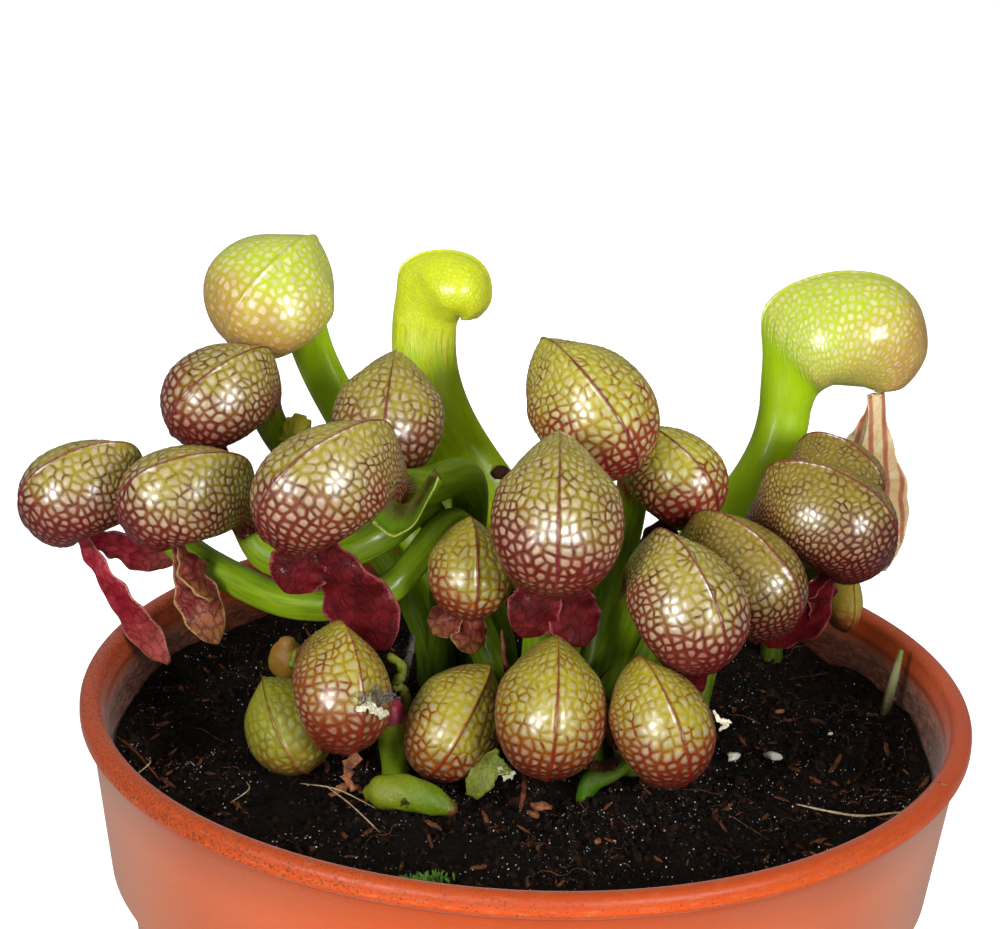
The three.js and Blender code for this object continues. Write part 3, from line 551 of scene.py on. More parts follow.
def lobe(root, tip, width, face, seed):
    """The points, faces and layers of one waved blade."""
    root = np.asarray(root, float)
    tip = root + np.array(tip, float)
    bend = root + (tip - root) * LOBE_BEND
    bend[2] = root[2] + (tip[2] - root[2]) * LOBE_DROP
    share = np.linspace(0, 1, LOBE_ROWS)
    t = share[:, None]
    middle = root * (1 - t) ** 2 + 2 * bend * t * (1 - t) + tip * t * t
    tangent = unit(2 * (1 - t) * (bend - root) + 2 * t * (tip - bend))
    flat = np.array([math.cos(math.radians(face)), math.sin(math.radians(face)), 0])
    across = unit(flat - tangent * (tangent @ flat)[:, None])
    normal = np.cross(tangent, across)[:, None]
    closing = np.sqrt(np.clip((1 - share) / 0.07, 0, 1))
    half = along(LOBE_OUTLINE, share * (len(LOBE_OUTLINE) - 1)) * width / 2 * (0.25 + 0.75 * closing)
    column = np.sin(np.linspace(-1, 1, LOBE_COLUMNS) * math.pi / 2)
    swell = np.sin(t * math.pi)
    ruffle = 0.32 * np.sin(t * 21 + seed) * column ** 3 * swell
    ruffle = ruffle + 0.22 * np.sin(t * 34 + 2 * seed) * np.abs(column) ** 3
    lift = ruffle - column * WAVE * np.sin(t * math.radians(WAVE_TURN))
    scallop = 1 + 0.06 * np.sin(t * 27 + 3 * seed) * swell
    sheet = middle[:, None] + across[:, None] * (column * half[:, None] * scallop)[..., None]
    sheet = sheet + normal * lift[..., None]
    rings = two_sided(sheet, normal, BLADE / 2 * (1 - LOBE_THINNING * column ** 4))
    both = np.concatenate([column, column[::-1]])
    grid = vectors(both * half[:, None], way_along(middle)[:, None] + 7 * seed, t)
    edge = vectors(t, np.abs(both), 0)
    return with_ends(rings), ring_faces(*rings.shape[:2]), with_ends(grid), with_ends(edge)


def make_blades(name, root, lobes, seed):
    """The lobes of a tongue as one piece."""
    parts = [lobe(root, *row, seed + 1.7 * n) for n, row in enumerate(lobes)]
    points, grid, edge = (np.vstack([part[k] for part in parts]) for k in (0, 2, 3))
    starts = np.cumsum([0] + [len(part[0]) for part in parts])
    faces = [np.vstack([part[1][k] + start for part, start in zip(parts, starts)]) for k in (0, 1)]
    return solid(name, points, faces, {"blade": grid, "edge": edge})


def tongue_root(p):
    """Where a tongue hangs from its hood, just clear of the mouth."""
    centre, ahead, dome, _ = hood_frame(p)
    length = p["size"][0]
    seat = p.get("seat", TONGUE_SEAT)
    return centre + ahead * TONGUE_ROOT[0] * length + dome * (TONGUE_ROOT[1] * length - seat)


# The curled wing beside the left front hood: a sheet from its upper edge to a lip that rolls over.
WING_UPPER = [(-19.8, -3, 138.9), (-19.3, -3.5, 135.6), (-18.4, -4, 133), (-17, -4.5, 132.6),
              (-15.6, -4, 133.8), (-14.4, -3, 135.4), (-13.2, -2, 136.7)]
WING_LIP = [(-21.7, -7, 130.8), (-20, -7.5, 129.6), (-18.1, -7.5, 129), (-16.1, -7, 129.9),
            (-14.9, -6, 131.3), (-13.7, -5, 133.6), (-12.4, -4, 136)]
WING_ROWS = 48
WING_COLUMNS = 15
WING_BELLY = 0.9
WING_ROLL = 0.8
WING_THICK = 0.79707


def make_wing():
    share = np.linspace(0, 1, WING_ROWS)
    down = np.linspace(0, 1, WING_COLUMNS)
    upper, lip = (curve_through(line, share)[:, None] for line in (WING_UPPER, WING_LIP))
    sheet = upper + (lip - upper) * down[None, :, None]
    normal = unit(np.cross(np.gradient(upper[:, 0], axis=0), (lip - upper)[:, 0]))
    normal = (normal * np.sign(-normal[:, 1:2]))[:, None]
    roll = smooth(0.7, 1, down) ** 2 * WING_ROLL
    lift = roll - WING_BELLY * np.sin(down * math.pi) + 0.15 * np.sin(share * 19)[:, None] * down ** 2
    rings = two_sided(sheet + normal * lift[..., None], normal, WING_THICK / 2 * (1 - 0.5 * down ** 4))
    grid = vectors(share[:, None] * 0, np.concatenate([down, down[::-1]]), 0)
    return solid("curled_wing", with_ends(rings), ring_faces(*rings.shape[:2]), {"blade": with_ends(grid)})


# The stubs.
STUB_ROWS = 40
STUB_COLUMNS = 28
STUB_ASIDE = unit(np.array([1, 0.3, 0]))
STUB_CAPS = [30, 58, 80]
STUB_BLUNT = 0.8


def make_stub(name, places):
    """A short limb with blunt ends, rooted in the peat unless it lies on it."""
    rows = [(x, y, float(soil_height(x, y)) + rise, radius) for x, y, rise, radius in places]
    if name != LYING:
        x, y, _, radius = rows[0]
        rows.insert(0, (x, y, float(soil_height(x, y)) - ROOTED, radius))
    rows = np.array(rows)
    share = np.linspace(0, 1, STUB_ROWS)
    middle = curve_through(rows[:, :3], share)
    step = 1e-3
    tangent = unit(curve_through(rows[:, :3], np.minimum(share + step, 1))
                   - curve_through(rows[:, :3], np.maximum(share - step, 0)))
    across = unit(STUB_ASIDE - tangent * (tangent @ STUB_ASIDE)[:, None])
    radius = along(rows[:, 3], share * (len(rows) - 1))
    angle, t = around(STUB_COLUMNS), share[:, None]
    bumps = 1 + 0.05 * np.sin(3 * angle + 7 * t) + 0.03 * np.sin(5 * angle - 11 * t)
    rings = tube_rings(middle, across, np.cross(tangent, across), radius[:, None] * bumps, STUB_COLUMNS)

    def caps(end, way, order):
        return [middle[end] + (rings[end] - middle[end]) * math.cos(a)
                + way * STUB_BLUNT * radius[end] * math.sin(a) for a in np.radians(order)]

    head = caps(-1, tangent[-1], STUB_CAPS)
    foot = caps(0, -tangent[0], STUB_CAPS[::-1]) if name == LYING else []
    rings = np.array([*foot, *rings, *head])
    grid = vectors(angle * 0, np.linspace(0, 1, len(rings))[:, None], 0)
    return solid("limb_" + name, with_ends(rings), ring_faces(len(rings), STUB_COLUMNS),
                 {"blade": with_ends(grid)})


# The pot, turned from its profile.
def round_corner(x, y, radius, first, last, steps):
    angles = np.radians(np.linspace(first, last, steps))
    return [(x + radius * math.cos(a), y + radius * math.sin(a)) for a in angles]


def between(start, end, shares):
    """Places on the line from start to end."""
    return [tuple(a + (b - a) * s for a, b in zip(start, end)) for s in shares]


def pot_profile():
    lip_x, lip_foot = LIP_RADIUS - LIP_ROUND, POT_HEIGHT - LIP_HEIGHT
    body_top, collar_foot = (BODY_TOP_RADIUS, BODY_TOP_Z), (COLLAR_FOOT_RADIUS, COLLAR_FOOT_Z)
    line = round_corner(BASE_RADIUS - BASE_ROUND, BASE_ROUND, BASE_ROUND, -90, 0, 6)
    line += between((BASE_RADIUS, BASE_ROUND), body_top, (0.25, 0.5, 0.75, 0.985, 1))
    line += between(body_top, collar_foot, (0.06, 0.5, 0.94, 1))
    line += between(collar_foot, (COLLAR_TOP_RADIUS, lip_foot), (0.02, 0.33, 0.66, 0.985))
    line += round_corner(lip_x, lip_foot + LIP_ROUND, LIP_ROUND, -75, 0, 7)
    line += round_corner(lip_x, POT_HEIGHT - LIP_ROUND, LIP_ROUND, 0, 90, 8)
    line += round_corner(LIP_RADIUS - LIP_WIDTH + LIP_ROUND, POT_HEIGHT - LIP_ROUND, LIP_ROUND, 90, 180, 8)
    line += [(float(inner_radius(z)), z) for z in
             (100, 95, 88, COLLAR_FOOT_Z + 0.3, COLLAR_FOOT_Z, COLLAR_FOOT_Z - 0.3, BODY_TOP_Z + 0.3,
              BODY_TOP_Z, 50, 25, FLOOR_THICKNESS)]
    return np.array(line)


def make_pot():
    """The pot, a little out of round towards its lip, with its drain holes cut."""
    radius, height = pot_profile().T[..., None]
    angle = around(POT_SIDES)
    slack = smooth(60, 100, height)
    radius = radius + slack * (0.10 * np.sin(2 * angle + 0.8) + 0.05 * np.sin(5 * angle + 2))
    height = height + slack * 0.06 * np.sin(3 * angle + 1.2)
    rings = vectors(radius * np.cos(angle), radius * np.sin(angle), height)
    pot = solid("nursery_pot", with_ends(rings), ring_faces(len(rings), POT_SIDES))
    for way in around(DRAIN_HOLES):
        x, y = DRAIN_RING * MM * math.cos(way), DRAIN_RING * MM * math.sin(way)
        bpy.ops.mesh.primitive_cylinder_add(vertices=40, radius=DRAIN_RADIUS * MM,
                                            depth=4 * FLOOR_THICKNESS * MM,
                                            location=(x, y, FLOOR_THICKNESS * MM / 2))
        drill = bpy.context.object
        cut = pot.modifiers.new("drain", "BOOLEAN")
        cut.object = drill
        cut.solver = "EXACT"
        baked = bpy.data.meshes.new_from_object(pot.evaluated_get(bpy.context.evaluated_depsgraph_get()))
        pot.modifiers.clear()
        pot.data = baked
        bpy.data.objects.remove(drill)
    return pot


# The peat: a dense top over plain sides, and loose bits scattered on it.
SOIL_ROWS = 128
SOIL_COLUMNS = 300
LUMPINESS = 0.6
STREWN_ROWS = slice(10, -2)
STRAND_ASIDE = np.array([0.31, 0.23, 0.92])


def peat_lift(x, y):
    """How far clods, grains and crumbs lift the peat at a place."""
    place = Vector((x * 0.16, y * 0.16, 3.1))
    clods = noise.fractal(place, 1.0, 2.1, 3) * 0.9
    grain = noise.fractal(Vector((x * 1.1, y * 1.1, 8.7)), 0.7, 2.2, 2) * 0.42
    crumbs = noise.voronoi(Vector((x * 0.8, y * 0.8, 1.4)))[0]
    return clods + grain + (crumbs[1] - crumbs[0]) * 0.6 - 0.35


def soil_top():
    """Rings of places over the top of the peat, from near its middle to its edge."""
    edge = float(inner_radius(SOIL_Z)) - GAP
    share = (np.arange(1, SOIL_ROWS + 1) / SOIL_ROWS)[:, None]
    angle = around(SOIL_COLUMNS)
    x, y = (edge * share * f(angle) for f in (np.cos, np.sin))
    lift = np.vectorize(peat_lift)(x, y)
    calm = 1 - 0.5 * smooth(0.97, 1, share)
    return vectors(x, y, soil_height(x, y) + lift * calm + 0.8 * smooth(0.93, 1, share))


def make_soil(top):
    height = np.array([FLOOR_THICKNESS + GAP, BODY_TOP_Z, COLLAR_FOOT_Z, 90])[:, None]
    radius, angle = inner_radius(height) - 2 * GAP, around(SOIL_COLUMNS)
    walls = vectors(radius * np.cos(angle), radius * np.sin(angle), height)
    rings = np.concatenate([walls, top[::-1]])
    return solid("wet_peat", with_ends(rings), ring_faces(len(rings), SOIL_COLUMNS))


def lump_of(size, seed, steps=2, stretch=(1, 1, 1), turn=0.0, at=(0, 0, 0)):
    """The points and faces of a rough lump."""
    ball = bmesh.new()
    bmesh.ops.create_icosphere(ball, subdivisions=steps, radius=0.5)
    shift = Vector((seed, 0, 0))
    points = np.array([v.co * (1 + LUMPINESS * noise.noise(v.co * 2.2 + shift)) for v in ball.verts])
    faces = np.array([[v.index for v in face.verts] for face in ball.faces])
    ball.free()
    x, y, z = (points * size * np.array(stretch)).T
    c, s = math.cos(math.radians(turn)), math.sin(math.radians(turn))
    return vectors(x * c - y * s, x * s + y * c, z) + np.array(at), [faces]


def strand_of(places, radius, rows=20, columns=6, ends=0.4):
    """The points and faces of a thread through places, with thinner ends."""
    share = np.linspace(0, 1, rows)
    middle = curve_through(places, share)
    tangent = unit(np.gradient(middle, axis=0))
    aside = unit(np.cross(tangent, STRAND_ASIDE))
    girth = radius * (1 - (1 - ends) * np.abs(2 * share - 1) ** 3) * (1 + 0.16 * np.sin(share * 31))
    rings = tube_rings(middle, aside, np.cross(tangent, aside), girth[:, None], columns)
    return with_ends(rings), ring_faces(rows, columns)


def tangle(places, spread, number, seed):
    """Short bent threads round a few places."""
    rng = np.random.default_rng(seed)
    threads = []
    for _ in range(number):
        at = np.array(places[rng.integers(len(places))]) + rng.normal(0, spread * 0.45, 3)
        way = rng.normal(0, spread * 0.5, (2, 3))
        threads.append(strand_of([at, at + way[0], at + way[0] + way[1]], 0.05, 5, 3, 0.6))
    return threads


def ribbon_of(places, widths, thick, face, curl=0.0, ragged=0.25, seed=0.0, rows=26, columns=7):
    """The points and faces of a thin torn strip along places; face is the way of its broad side."""
    share = np.linspace(0, 1, rows)
    middle = curve_through(places, share)
    tangent = unit(np.gradient(middle, axis=0))
    normal = unit(np.cross(tangent, np.cross(np.array(face, float), tangent)))
    across = np.cross(tangent, normal)[:, None]
    half = np.maximum(0.05, along(widths, share * (len(widths) - 1)) / 2)[:, None]
    column, t, normal = np.linspace(-1, 1, columns), share[:, None], normal[:, None]
    torn = 1 + ragged * (np.sin(t * 23 + seed + 2 * np.sign(column)) + 0.6 * np.sin(t * 51 + 2 * seed))
    lift = curl * half * column ** 2 + ragged * 0.5 * half * np.sin(t * 17 + 3 * column + seed)
    sheet = middle[:, None] + across * (half * torn * column)[..., None] + normal * lift[..., None]
    rings = two_sided(sheet, normal, thick / 2 * (1 - 0.6 * column ** 4))
    return with_ends(rings), ring_faces(rows, 2 * columns)


# Nodes.
class Wire:
    """The output of a node; reckoning with it adds nodes to its tree."""

    def __init__(self, maker, socket):
        self.maker, self.socket = maker, socket

    def __add__(self, other):
        return self.maker.math("ADD", self, other)

    def __sub__(self, other):
        return self.maker.math("SUBTRACT", self, other)

    def __rsub__(self, other):
        return self.maker.math("SUBTRACT", other, self)

    def __mul__(self, other):
        return self.maker.math("MULTIPLY", self, other)

    def __truediv__(self, other):
        return self.maker.math("DIVIDE", self, other)

    def clamped(self):
        self.socket.node.use_clamp = True
        return self

    def span(self, low, high, to_low=0.0, to_high=1.0, kind="SMOOTHSTEP"):
        """The value with the range from low to high taken to another range, and held in it."""
        return self.maker.out("ShaderNodeMapRange", {
            "Value": self, "From Min": low, "From Max": high, "To Min": to_low, "To Max": to_high},
            interpolation_type=kind)

    def sway(self, most):
        """A noise, as a value that wavers about zero."""
        return self.span(0.3, 0.7, -most, most)

    def fade(self, start, end, kind="SMOOTHSTEP"):
        """A share, as a value from start to end."""
        return self.span(0.0, 1.0, start, end, kind)


class Maker:
    """Adds nodes to a tree and joins them. A colour may be given as its screen code."""

    def __init__(self, tree):
        self.tree = tree

    def put(self, socket, value):
        if isinstance(value, Wire):
            self.tree.links.new(value.socket, socket)
        else:
            coded = isinstance(value, str) and socket.type == "RGBA"
            socket.default_value = tint(value) if coded else value

    def add(self, kind, inputs=None, **settings):
        node = self.tree.nodes.new(kind)
        for label, value in settings.items():
            setattr(node, label, value)
        for label, value in (inputs or {}).items():
            self.put(node.inputs[label], value)
        return node

    def out(self, kind, inputs=None, pick=0, **settings):
        """One output of a new node."""
        return Wire(self, self.add(kind, inputs, **settings).outputs[pick])

    def outs(self, kind, inputs=None, **settings):
        """All outputs of a new node, by name."""
        return {socket.name: Wire(self, socket) for socket in self.add(kind, inputs, **settings).outputs}

    def math(self, operation, a, b=0.0):
        return self.out("ShaderNodeMath", {0: a, 1: b}, operation=operation)

    def vector(self, operation, a, b=(0, 0, 0), pick=0):
        return self.out("ShaderNodeVectorMath", {0: a, 1: b}, pick, operation=operation)

    def scaled(self, vector, scale):
        return self.out("ShaderNodeVectorMath", {0: vector, "Scale": scale}, operation="SCALE")

    def axes(self, vector):
        return self.outs("ShaderNodeSeparateXYZ", {0: vector}).values()

    def mix(self, share, a, b, blend="MIX"):
        return self.out("ShaderNodeMix", {0: share, 6: a, 7: b}, 2, data_type="RGBA", blend_type=blend)

    def noise(self, vector, scale, detail=2.0, rough=0.5):
        return self.out("ShaderNodeTexNoise", {"Vector": vector, "Scale": scale, "Detail": detail,
                                               "Roughness": rough})

    def cells(self, vector, feature, scale=1.0, random=NET_RANDOM, dims="2D"):
        return self.outs("ShaderNodeTexVoronoi", {"Vector": vector, "Scale": scale, "Randomness": random},
                         voronoi_dimensions=dims, feature=feature)

    def layer(self, name):
        """A layer of the mesh, whole and as its three numbers."""
        vector = self.out("ShaderNodeAttribute", pick="Vector", attribute_name=name)
        return vector, *self.axes(vector)

    def here(self):
        """The place on the piece, in millimetres."""
        return self.scaled(self.out("ShaderNodeTexCoord", pick="Object"), 1 / MM)


def tint(code):
    """A colour from its usual screen code."""
    parts = [int(code[i:i + 2], 16) / 255 for i in (0, 2, 4)]
    return tuple(c / 12.92 if c < 0.04045 else ((c + 0.055) / 1.055) ** 2.4 for c in parts) + (1.0,)


def toned(names, codes, **rest):
    """Values for the sockets of a group: colours for some names in turn, and others."""
    colours = {name: tint(code) for name, code in zip(names, codes.split())}
    return {**colours, **{name.replace("_", " "): value for name, value in rest.items()}}


def group(name, inputs, outputs, kind="ShaderNodeTree"):
    """A group of nodes. An input is given as its first value, or as its kind if it has none."""
    tree = bpy.data.node_groups.new(name, kind)
    for label, value in inputs.items():
        if isinstance(value, str):
            tree.interface.new_socket(label, in_out="INPUT", socket_type="NodeSocket" + value)
        else:
            sort = "NodeSocketColor" if isinstance(value, tuple) else "NodeSocketFloat"
            tree.interface.new_socket(label, in_out="INPUT", socket_type=sort).default_value = value
    for label, value in outputs.items():
        tree.interface.new_socket(label, in_out="OUTPUT", socket_type="NodeSocket" + value)
    t = Maker(tree)
    return tree, t, t.outs("NodeGroupInput")


def clad_output(t, g, geometry):
    """Ends a tree of Geometry Nodes with its geometry made real and clad."""
    real = t.out("GeometryNodeRealizeInstances", {0: geometry})
    clad = t.out("GeometryNodeSetMaterial", {"Geometry": real, "Material": g["Material"]})
    t.add("NodeGroupOutput", {"Geometry": clad})


def scatter_tree():
    """Strews a shape over a surface, with sizes, turns and clumps drawn from a fixed seed."""
    tree, t, g = group("strewn bits", {
        "Geometry": "Geometry", "Shape": "Object", "Per Square Metre": "Float", "Smallest": "Float",
        "Largest": "Float", "Clumping": "Float", "Tumble": "Float", "Lift": "Float", "Seed": "Int",
        "Material": "Material"}, {"Geometry": "Geometry"}, "GeometryNodeTree")
    patches = t.out("ShaderNodeTexNoise", {"Scale": 70.0, "Detail": 2.0})
    clump = t.math("POWER", patches.span(0.35, 0.65), g["Clumping"])
    points = t.outs("GeometryNodeDistributePointsOnFaces", {
        "Mesh": g["Geometry"], "Density": g["Per Square Metre"] * clump, "Seed": g["Seed"]},
        distribute_method="RANDOM")
    spin = t.out("FunctionNodeRandomValue", {0: (-1.0, -1.0, -3.2), 1: (1.0, 1.0, 3.2), "Seed": g["Seed"]},
                 data_type="FLOAT_VECTOR")
    tumble = t.out("ShaderNodeCombineXYZ", {"X": g["Tumble"], "Y": g["Tumble"], "Z": 1.0})
    spun = t.out("FunctionNodeEulerToRotation", {0: t.vector("MULTIPLY", spin, tumble)})
    stood = t.out("FunctionNodeRotateRotation", {"Rotation": points["Rotation"], "Rotate By": spun},
                  rotation_space="LOCAL")
    size = t.out("FunctionNodeRandomValue", {"Seed": g["Seed"] + 5.0}, 1, data_type="FLOAT")
    grown = t.math("POWER", size, 2.2).fade(g["Smallest"], g["Largest"], "LINEAR")
    shape = t.out("GeometryNodeObjectInfo", {"Object": g["Shape"]}, "Geometry", transform_space="ORIGINAL")
    strewn = t.out("GeometryNodeInstanceOnPoints", {
        "Points": points["Points"], "Instance": shape, "Rotation": stood, "Scale": grown})
    lift = t.out("ShaderNodeCombineXYZ", {"Z": g["Lift"]})
    clad_output(t, g, t.out("GeometryNodeTranslateInstances", {
        "Instances": strewn, "Translation": lift, "Local Space": False}))
    return tree


def relief_tree():
    """Raises the meshes of the net on a hood, with the veins between them left low."""
    tree, t, g = group("raised net", {"Geometry": "Geometry", "Depth": "Float", "Material": "Material"},
                       {"Geometry": "Geometry"}, "GeometryNodeTree")
    net, place, stem = (t.out("GeometryNodeInputNamedAttribute", {"Name": name}, data_type="FLOAT_VECTOR")
                        for name in ("net", "place", "stem"))
    (_, _, hooded), (_, _, mouth), (_, _, from_rib) = (t.axes(layer) for layer in (place, stem, net))
    pillow = t.cells(net, "DISTANCE_TO_EDGE")["Distance"].span(0.0, 0.4)
    share = pillow * (hooded * from_rib.span(0.3, 1.2)) * (1.0 - mouth)
    push = t.scaled(t.out("GeometryNodeInputNormal", pick="Normal"), share * g["Depth"])
    clad_output(t, g, t.out("GeometryNodeSetPosition", {"Geometry": g["Geometry"], "Offset": push}))
    return tree


def grown_by(tree, base, name, values, facets=False):
    """The plain mesh that a tree makes of a base object, as a new piece; facets are left sharp."""
    modifier = base.modifiers.new("grow", "NODES")
    modifier.node_group = tree
    for item in tree.interface.items_tree:
        if item.in_out == "INPUT" and item.name in values:
            modifier[item.identifier] = values[item.name]
    base.update_tag()
    bpy.context.view_layer.update()
    mesh = bpy.data.meshes.new_from_object(base.evaluated_get(bpy.context.evaluated_depsgraph_get()))
    base.modifiers.clear()
    mesh.name = name
    if facets:
        mesh.shade_flat()
    else:
        mesh.shade_smooth()
    piece = bpy.data.objects.new(name, mesh)
    bpy.context.scene.collection.objects.link(piece)
    return piece


GROUP_OUTPUTS = {"Color": "Color", "Roughness": "Float", "Height": "Float", "Gloss": "Float"}
LEAF_TONES = ("Window", "Warm Window", "Green", "Brown", "Maroon", "Vein", "Rib", "Stem", "Stem Foot",
              "Neck")
BLADE_TONES = ("Body", "Light", "Veins", "Edge", "Tip")


def netted_leaf_group():
    """The skin of a hood: soft pale windows in a net that goes from olive through brown to maroon,
    with thin veins along its middle, running into the plain green of its tube."""
    tree, t, g = group("netted leaf", toned(
        LEAF_TONES, "b09e82 a87460 948830 824a26 641a1a 541812 68101c 7a9812 36480a 4a4416",
        Flush=0.0, Veins=1.0, Window_Size=1.0, By_Ahead=0.5, By_Turn=0.85, By_Fall=0.55, Clear=0.9,
        Softness=1.0), GROUP_OUTPUTS)
    net, _, _, from_rib = t.layer("net")
    _, ahead, turn, hooded = t.layer("place")
    stem, _, up_way, mouth = t.layer("stem")
    _, down, _, _ = t.layer("lie")
    place = t.here()
    broad = t.noise(place, 0.14, 3.0)
    patchy = t.noise(place, 0.4, 3.0, 0.6)
    fine = t.noise(place, 1.9, 4.0, 0.65)
    edge = t.cells(net, "DISTANCE_TO_EDGE")["Distance"]
    cell = t.cells(net, "F1")
    tone, shade, start = t.outs("ShaderNodeSeparateColor", {0: cell["Color"]}).values()

    # How far the maroon has spread: forwards, round the sides and downwards.
    spread = (ahead * g["By Ahead"] + turn * g["By Turn"] + down * g["By Fall"]
              + broad.sway(0.13) + fine.sway(0.05) + g["Flush"])
    full = spread.span(0.5, 0.95)
    ground = t.mix(full, t.mix(spread.span(0.28, 0.66), g["Green"], g["Brown"]), g["Maroon"])
    window = t.mix((full * tone.fade(0.7, 1.2)).clamped(), g["Window"], g["Warm Window"])
    lighter = shade.fade(0.82, 1.12, "LINEAR")
    grey = t.out("ShaderNodeCombineColor", {0: lighter, 1: lighter, 2: lighter})
    window = t.mix(1.0, window, grey, "MULTIPLY")

    # A window opens from near to far off its veins, rounder than its mesh and less where the skin is dark.
    ragged = (edge + fine.sway(0.03)) - cell["Distance"].span(0.28, 0.62, kind="LINEAR") * 0.22
    near = (full * 0.08 + start.fade(-0.03, 0.08)) / g["Window Size"]
    far = near + full.fade(0.3, 0.19) * g["Softness"] / g["Window Size"]
    opening = (ragged.span(near, far) * spread.span(0.7, 1.25, 1.0, 0.15) * patchy.span(0.3, 0.6, 0.7, 1.0)
               * spread.span(-0.1, 0.4, 0.65, 1.0) * g["Clear"])
    netted = t.mix(opening, ground, window)
    line = 1.0 - (edge + fine.sway(0.04)).span(0.02, 0.2)
    shown = spread.span(0.0, 0.5, 0.35, 0.9) + patchy.span(0.45, 0.65, -0.3, 0.35)
    netted = t.mix((line * (g["Veins"] * shown)).clamped(), netted, g["Vein"])
    netted = t.mix(mouth * 0.7, netted, g["Neck"])
    rib = 1.0 - (from_rib + fine.sway(0.08)).span(0.12, 0.42)
    rib = (rib * (g["Veins"] * hooded.span(0.9, 1.0))).clamped()
    netted = t.mix(rib * 0.92, netted, g["Rib"])

    # The tube, darker at its foot as painted shade under the hoods, and how it runs into the hood.
    streak = t.noise(t.vector("MULTIPLY", stem, (1.6, 0.16, 0.0)), 1.0, 3.0, 0.6)
    rise = up_way.span(2.0, 26.0) * 0.8 + streak.span(0.3, 0.7, -0.2, 0.3)
    green = t.mix(rise.clamped(), g["Stem Foot"], g["Stem"])
    onto_hood = (hooded + streak.sway(0.25)).span(0.15, 0.8)
    colour = t.mix(onto_hood, green, netted)
    blotch = t.noise(place, 0.55, 5.0, 0.7).span(0.6, 0.78, 0.0, 0.35)
    colour = t.mix(blotch, colour, t.mix(0.5, colour, g["Vein"]))

    pillow = edge.span(0.0, 0.42) * (onto_hood * 0.1) * g["Veins"]
    gloss = opening.span(0.0, 0.7, 0.35, 1.0) + patchy.span(0.35, 0.65, -0.2, 0.2)
    t.add("NodeGroupOutput", {
        "Color": colour, "Roughness": fine.span(0.25, 0.75, 0.34, 0.48) + opening * -0.06,
        "Height": pillow + fine * 0.03 + streak * 0.05 + patchy * onto_hood * 0.3,
        "Gloss": (gloss * onto_hood.fade(0.3, 1.0)).clamped()})
    return tree


def blade_group():
    """The thin skin of a tongue: crimson veins on rose, a pale edge, and a fine down that glints."""
    tree, t, g = group("tongue blade", toned(
        BLADE_TONES, "8c1430 b04258 4e0a16 c87a86 8c1430",
        Mottling=0.5, Edge_Width=0.12, Stripes=0.0), GROUP_OUTPUTS)
    blade, across, _, _ = t.layer("blade")
    _, down, aside, _ = t.layer("edge")
    place = t.here()
    fine = t.noise(place, 3.2, 4.0, 0.7)
    broad = t.noise(place, 0.42, 3.0)
    shift = t.out("ShaderNodeCombineXYZ", {0: broad * 2.5, 1: fine * 0.9})
    warp = t.vector("ADD", t.vector("MULTIPLY", blade, (1.0, 0.62, 0.0)), shift)
    web = t.cells(warp, "DISTANCE_TO_EDGE", 0.85, 1.0)["Distance"]
    vein = 1.0 - (web + fine.sway(0.04)).span(0.02, 0.2)
    colour = t.mix(broad.span(0.35, 0.68), g["Body"], g["Light"])
    colour = t.mix(down.span(0.55, 1.0), colour, t.mix(0.6, colour, g["Tip"]))
    colour = t.mix(vein * g["Mottling"], colour, g["Veins"])
    lines = t.math("ABSOLUTE", t.math("SINE", across * 1.5)).span(0.72, 0.98)
    colour = t.mix(lines * g["Stripes"], colour, g["Veins"])
    rim = (aside + fine.sway(0.05)).span(1.0 - g["Edge Width"], 1.0)
    colour = t.mix(rim * 0.8, colour, g["Edge"])
    colour = t.mix(t.noise(place, 5.5, 2.0).span(0.64, 0.74, 0.0, 0.35), colour, g["Edge"])
    t.add("NodeGroupOutput", {
        "Color": colour, "Roughness": fine.span(0.3, 0.7, 0.4, 0.6), "Height": fine * 0.07 + vein * -0.05,
        "Gloss": fine.span(0.5, 0.75, 0.0, 0.3)})
    return tree


def surface_material(name, build, **plain):
    """A material whose colour, roughness, height and, if it has one, coat are made by a function
    of its tree; plain holds the values that are the same all over."""
    material = bpy.data.materials.new(name)
    material.use_nodes = True
    material.node_tree.nodes.clear()
    t = Maker(material.node_tree)
    colour, rough, height, *coat = build(t)
    bump = t.out("ShaderNodeBump", {"Strength": 1.0, "Distance": MM, "Height": height})
    values = {"Base Color": colour, "Roughness": rough, "Normal": bump, **toned((), "", **plain)}
    if coat:
        values["Coat Weight"] = coat[0]
    # An emission strength makes a piece glow in its own colour: painted light.
    if "Emission_Strength" in plain:
        values["Emission Color"] = colour
    t.add("ShaderNodeOutputMaterial", {"Surface": t.out("ShaderNodeBsdfPrincipled", values)})
    return material


def living_skin(name, tree, values, index=1.32, soft=0.1, **plain):
    """A material from one of the groups, with the gloss of a leaf."""
    return surface_material(
        name, lambda t: t.outs("ShaderNodeGroup", values, node_tree=tree).values(),
        IOR=index, Coat_Roughness=0.27, Coat_IOR=1.85, Subsurface_Weight=soft,
        Subsurface_Radius=(1.0, 0.6, 0.25), Subsurface_Scale=0.0016, **plain)


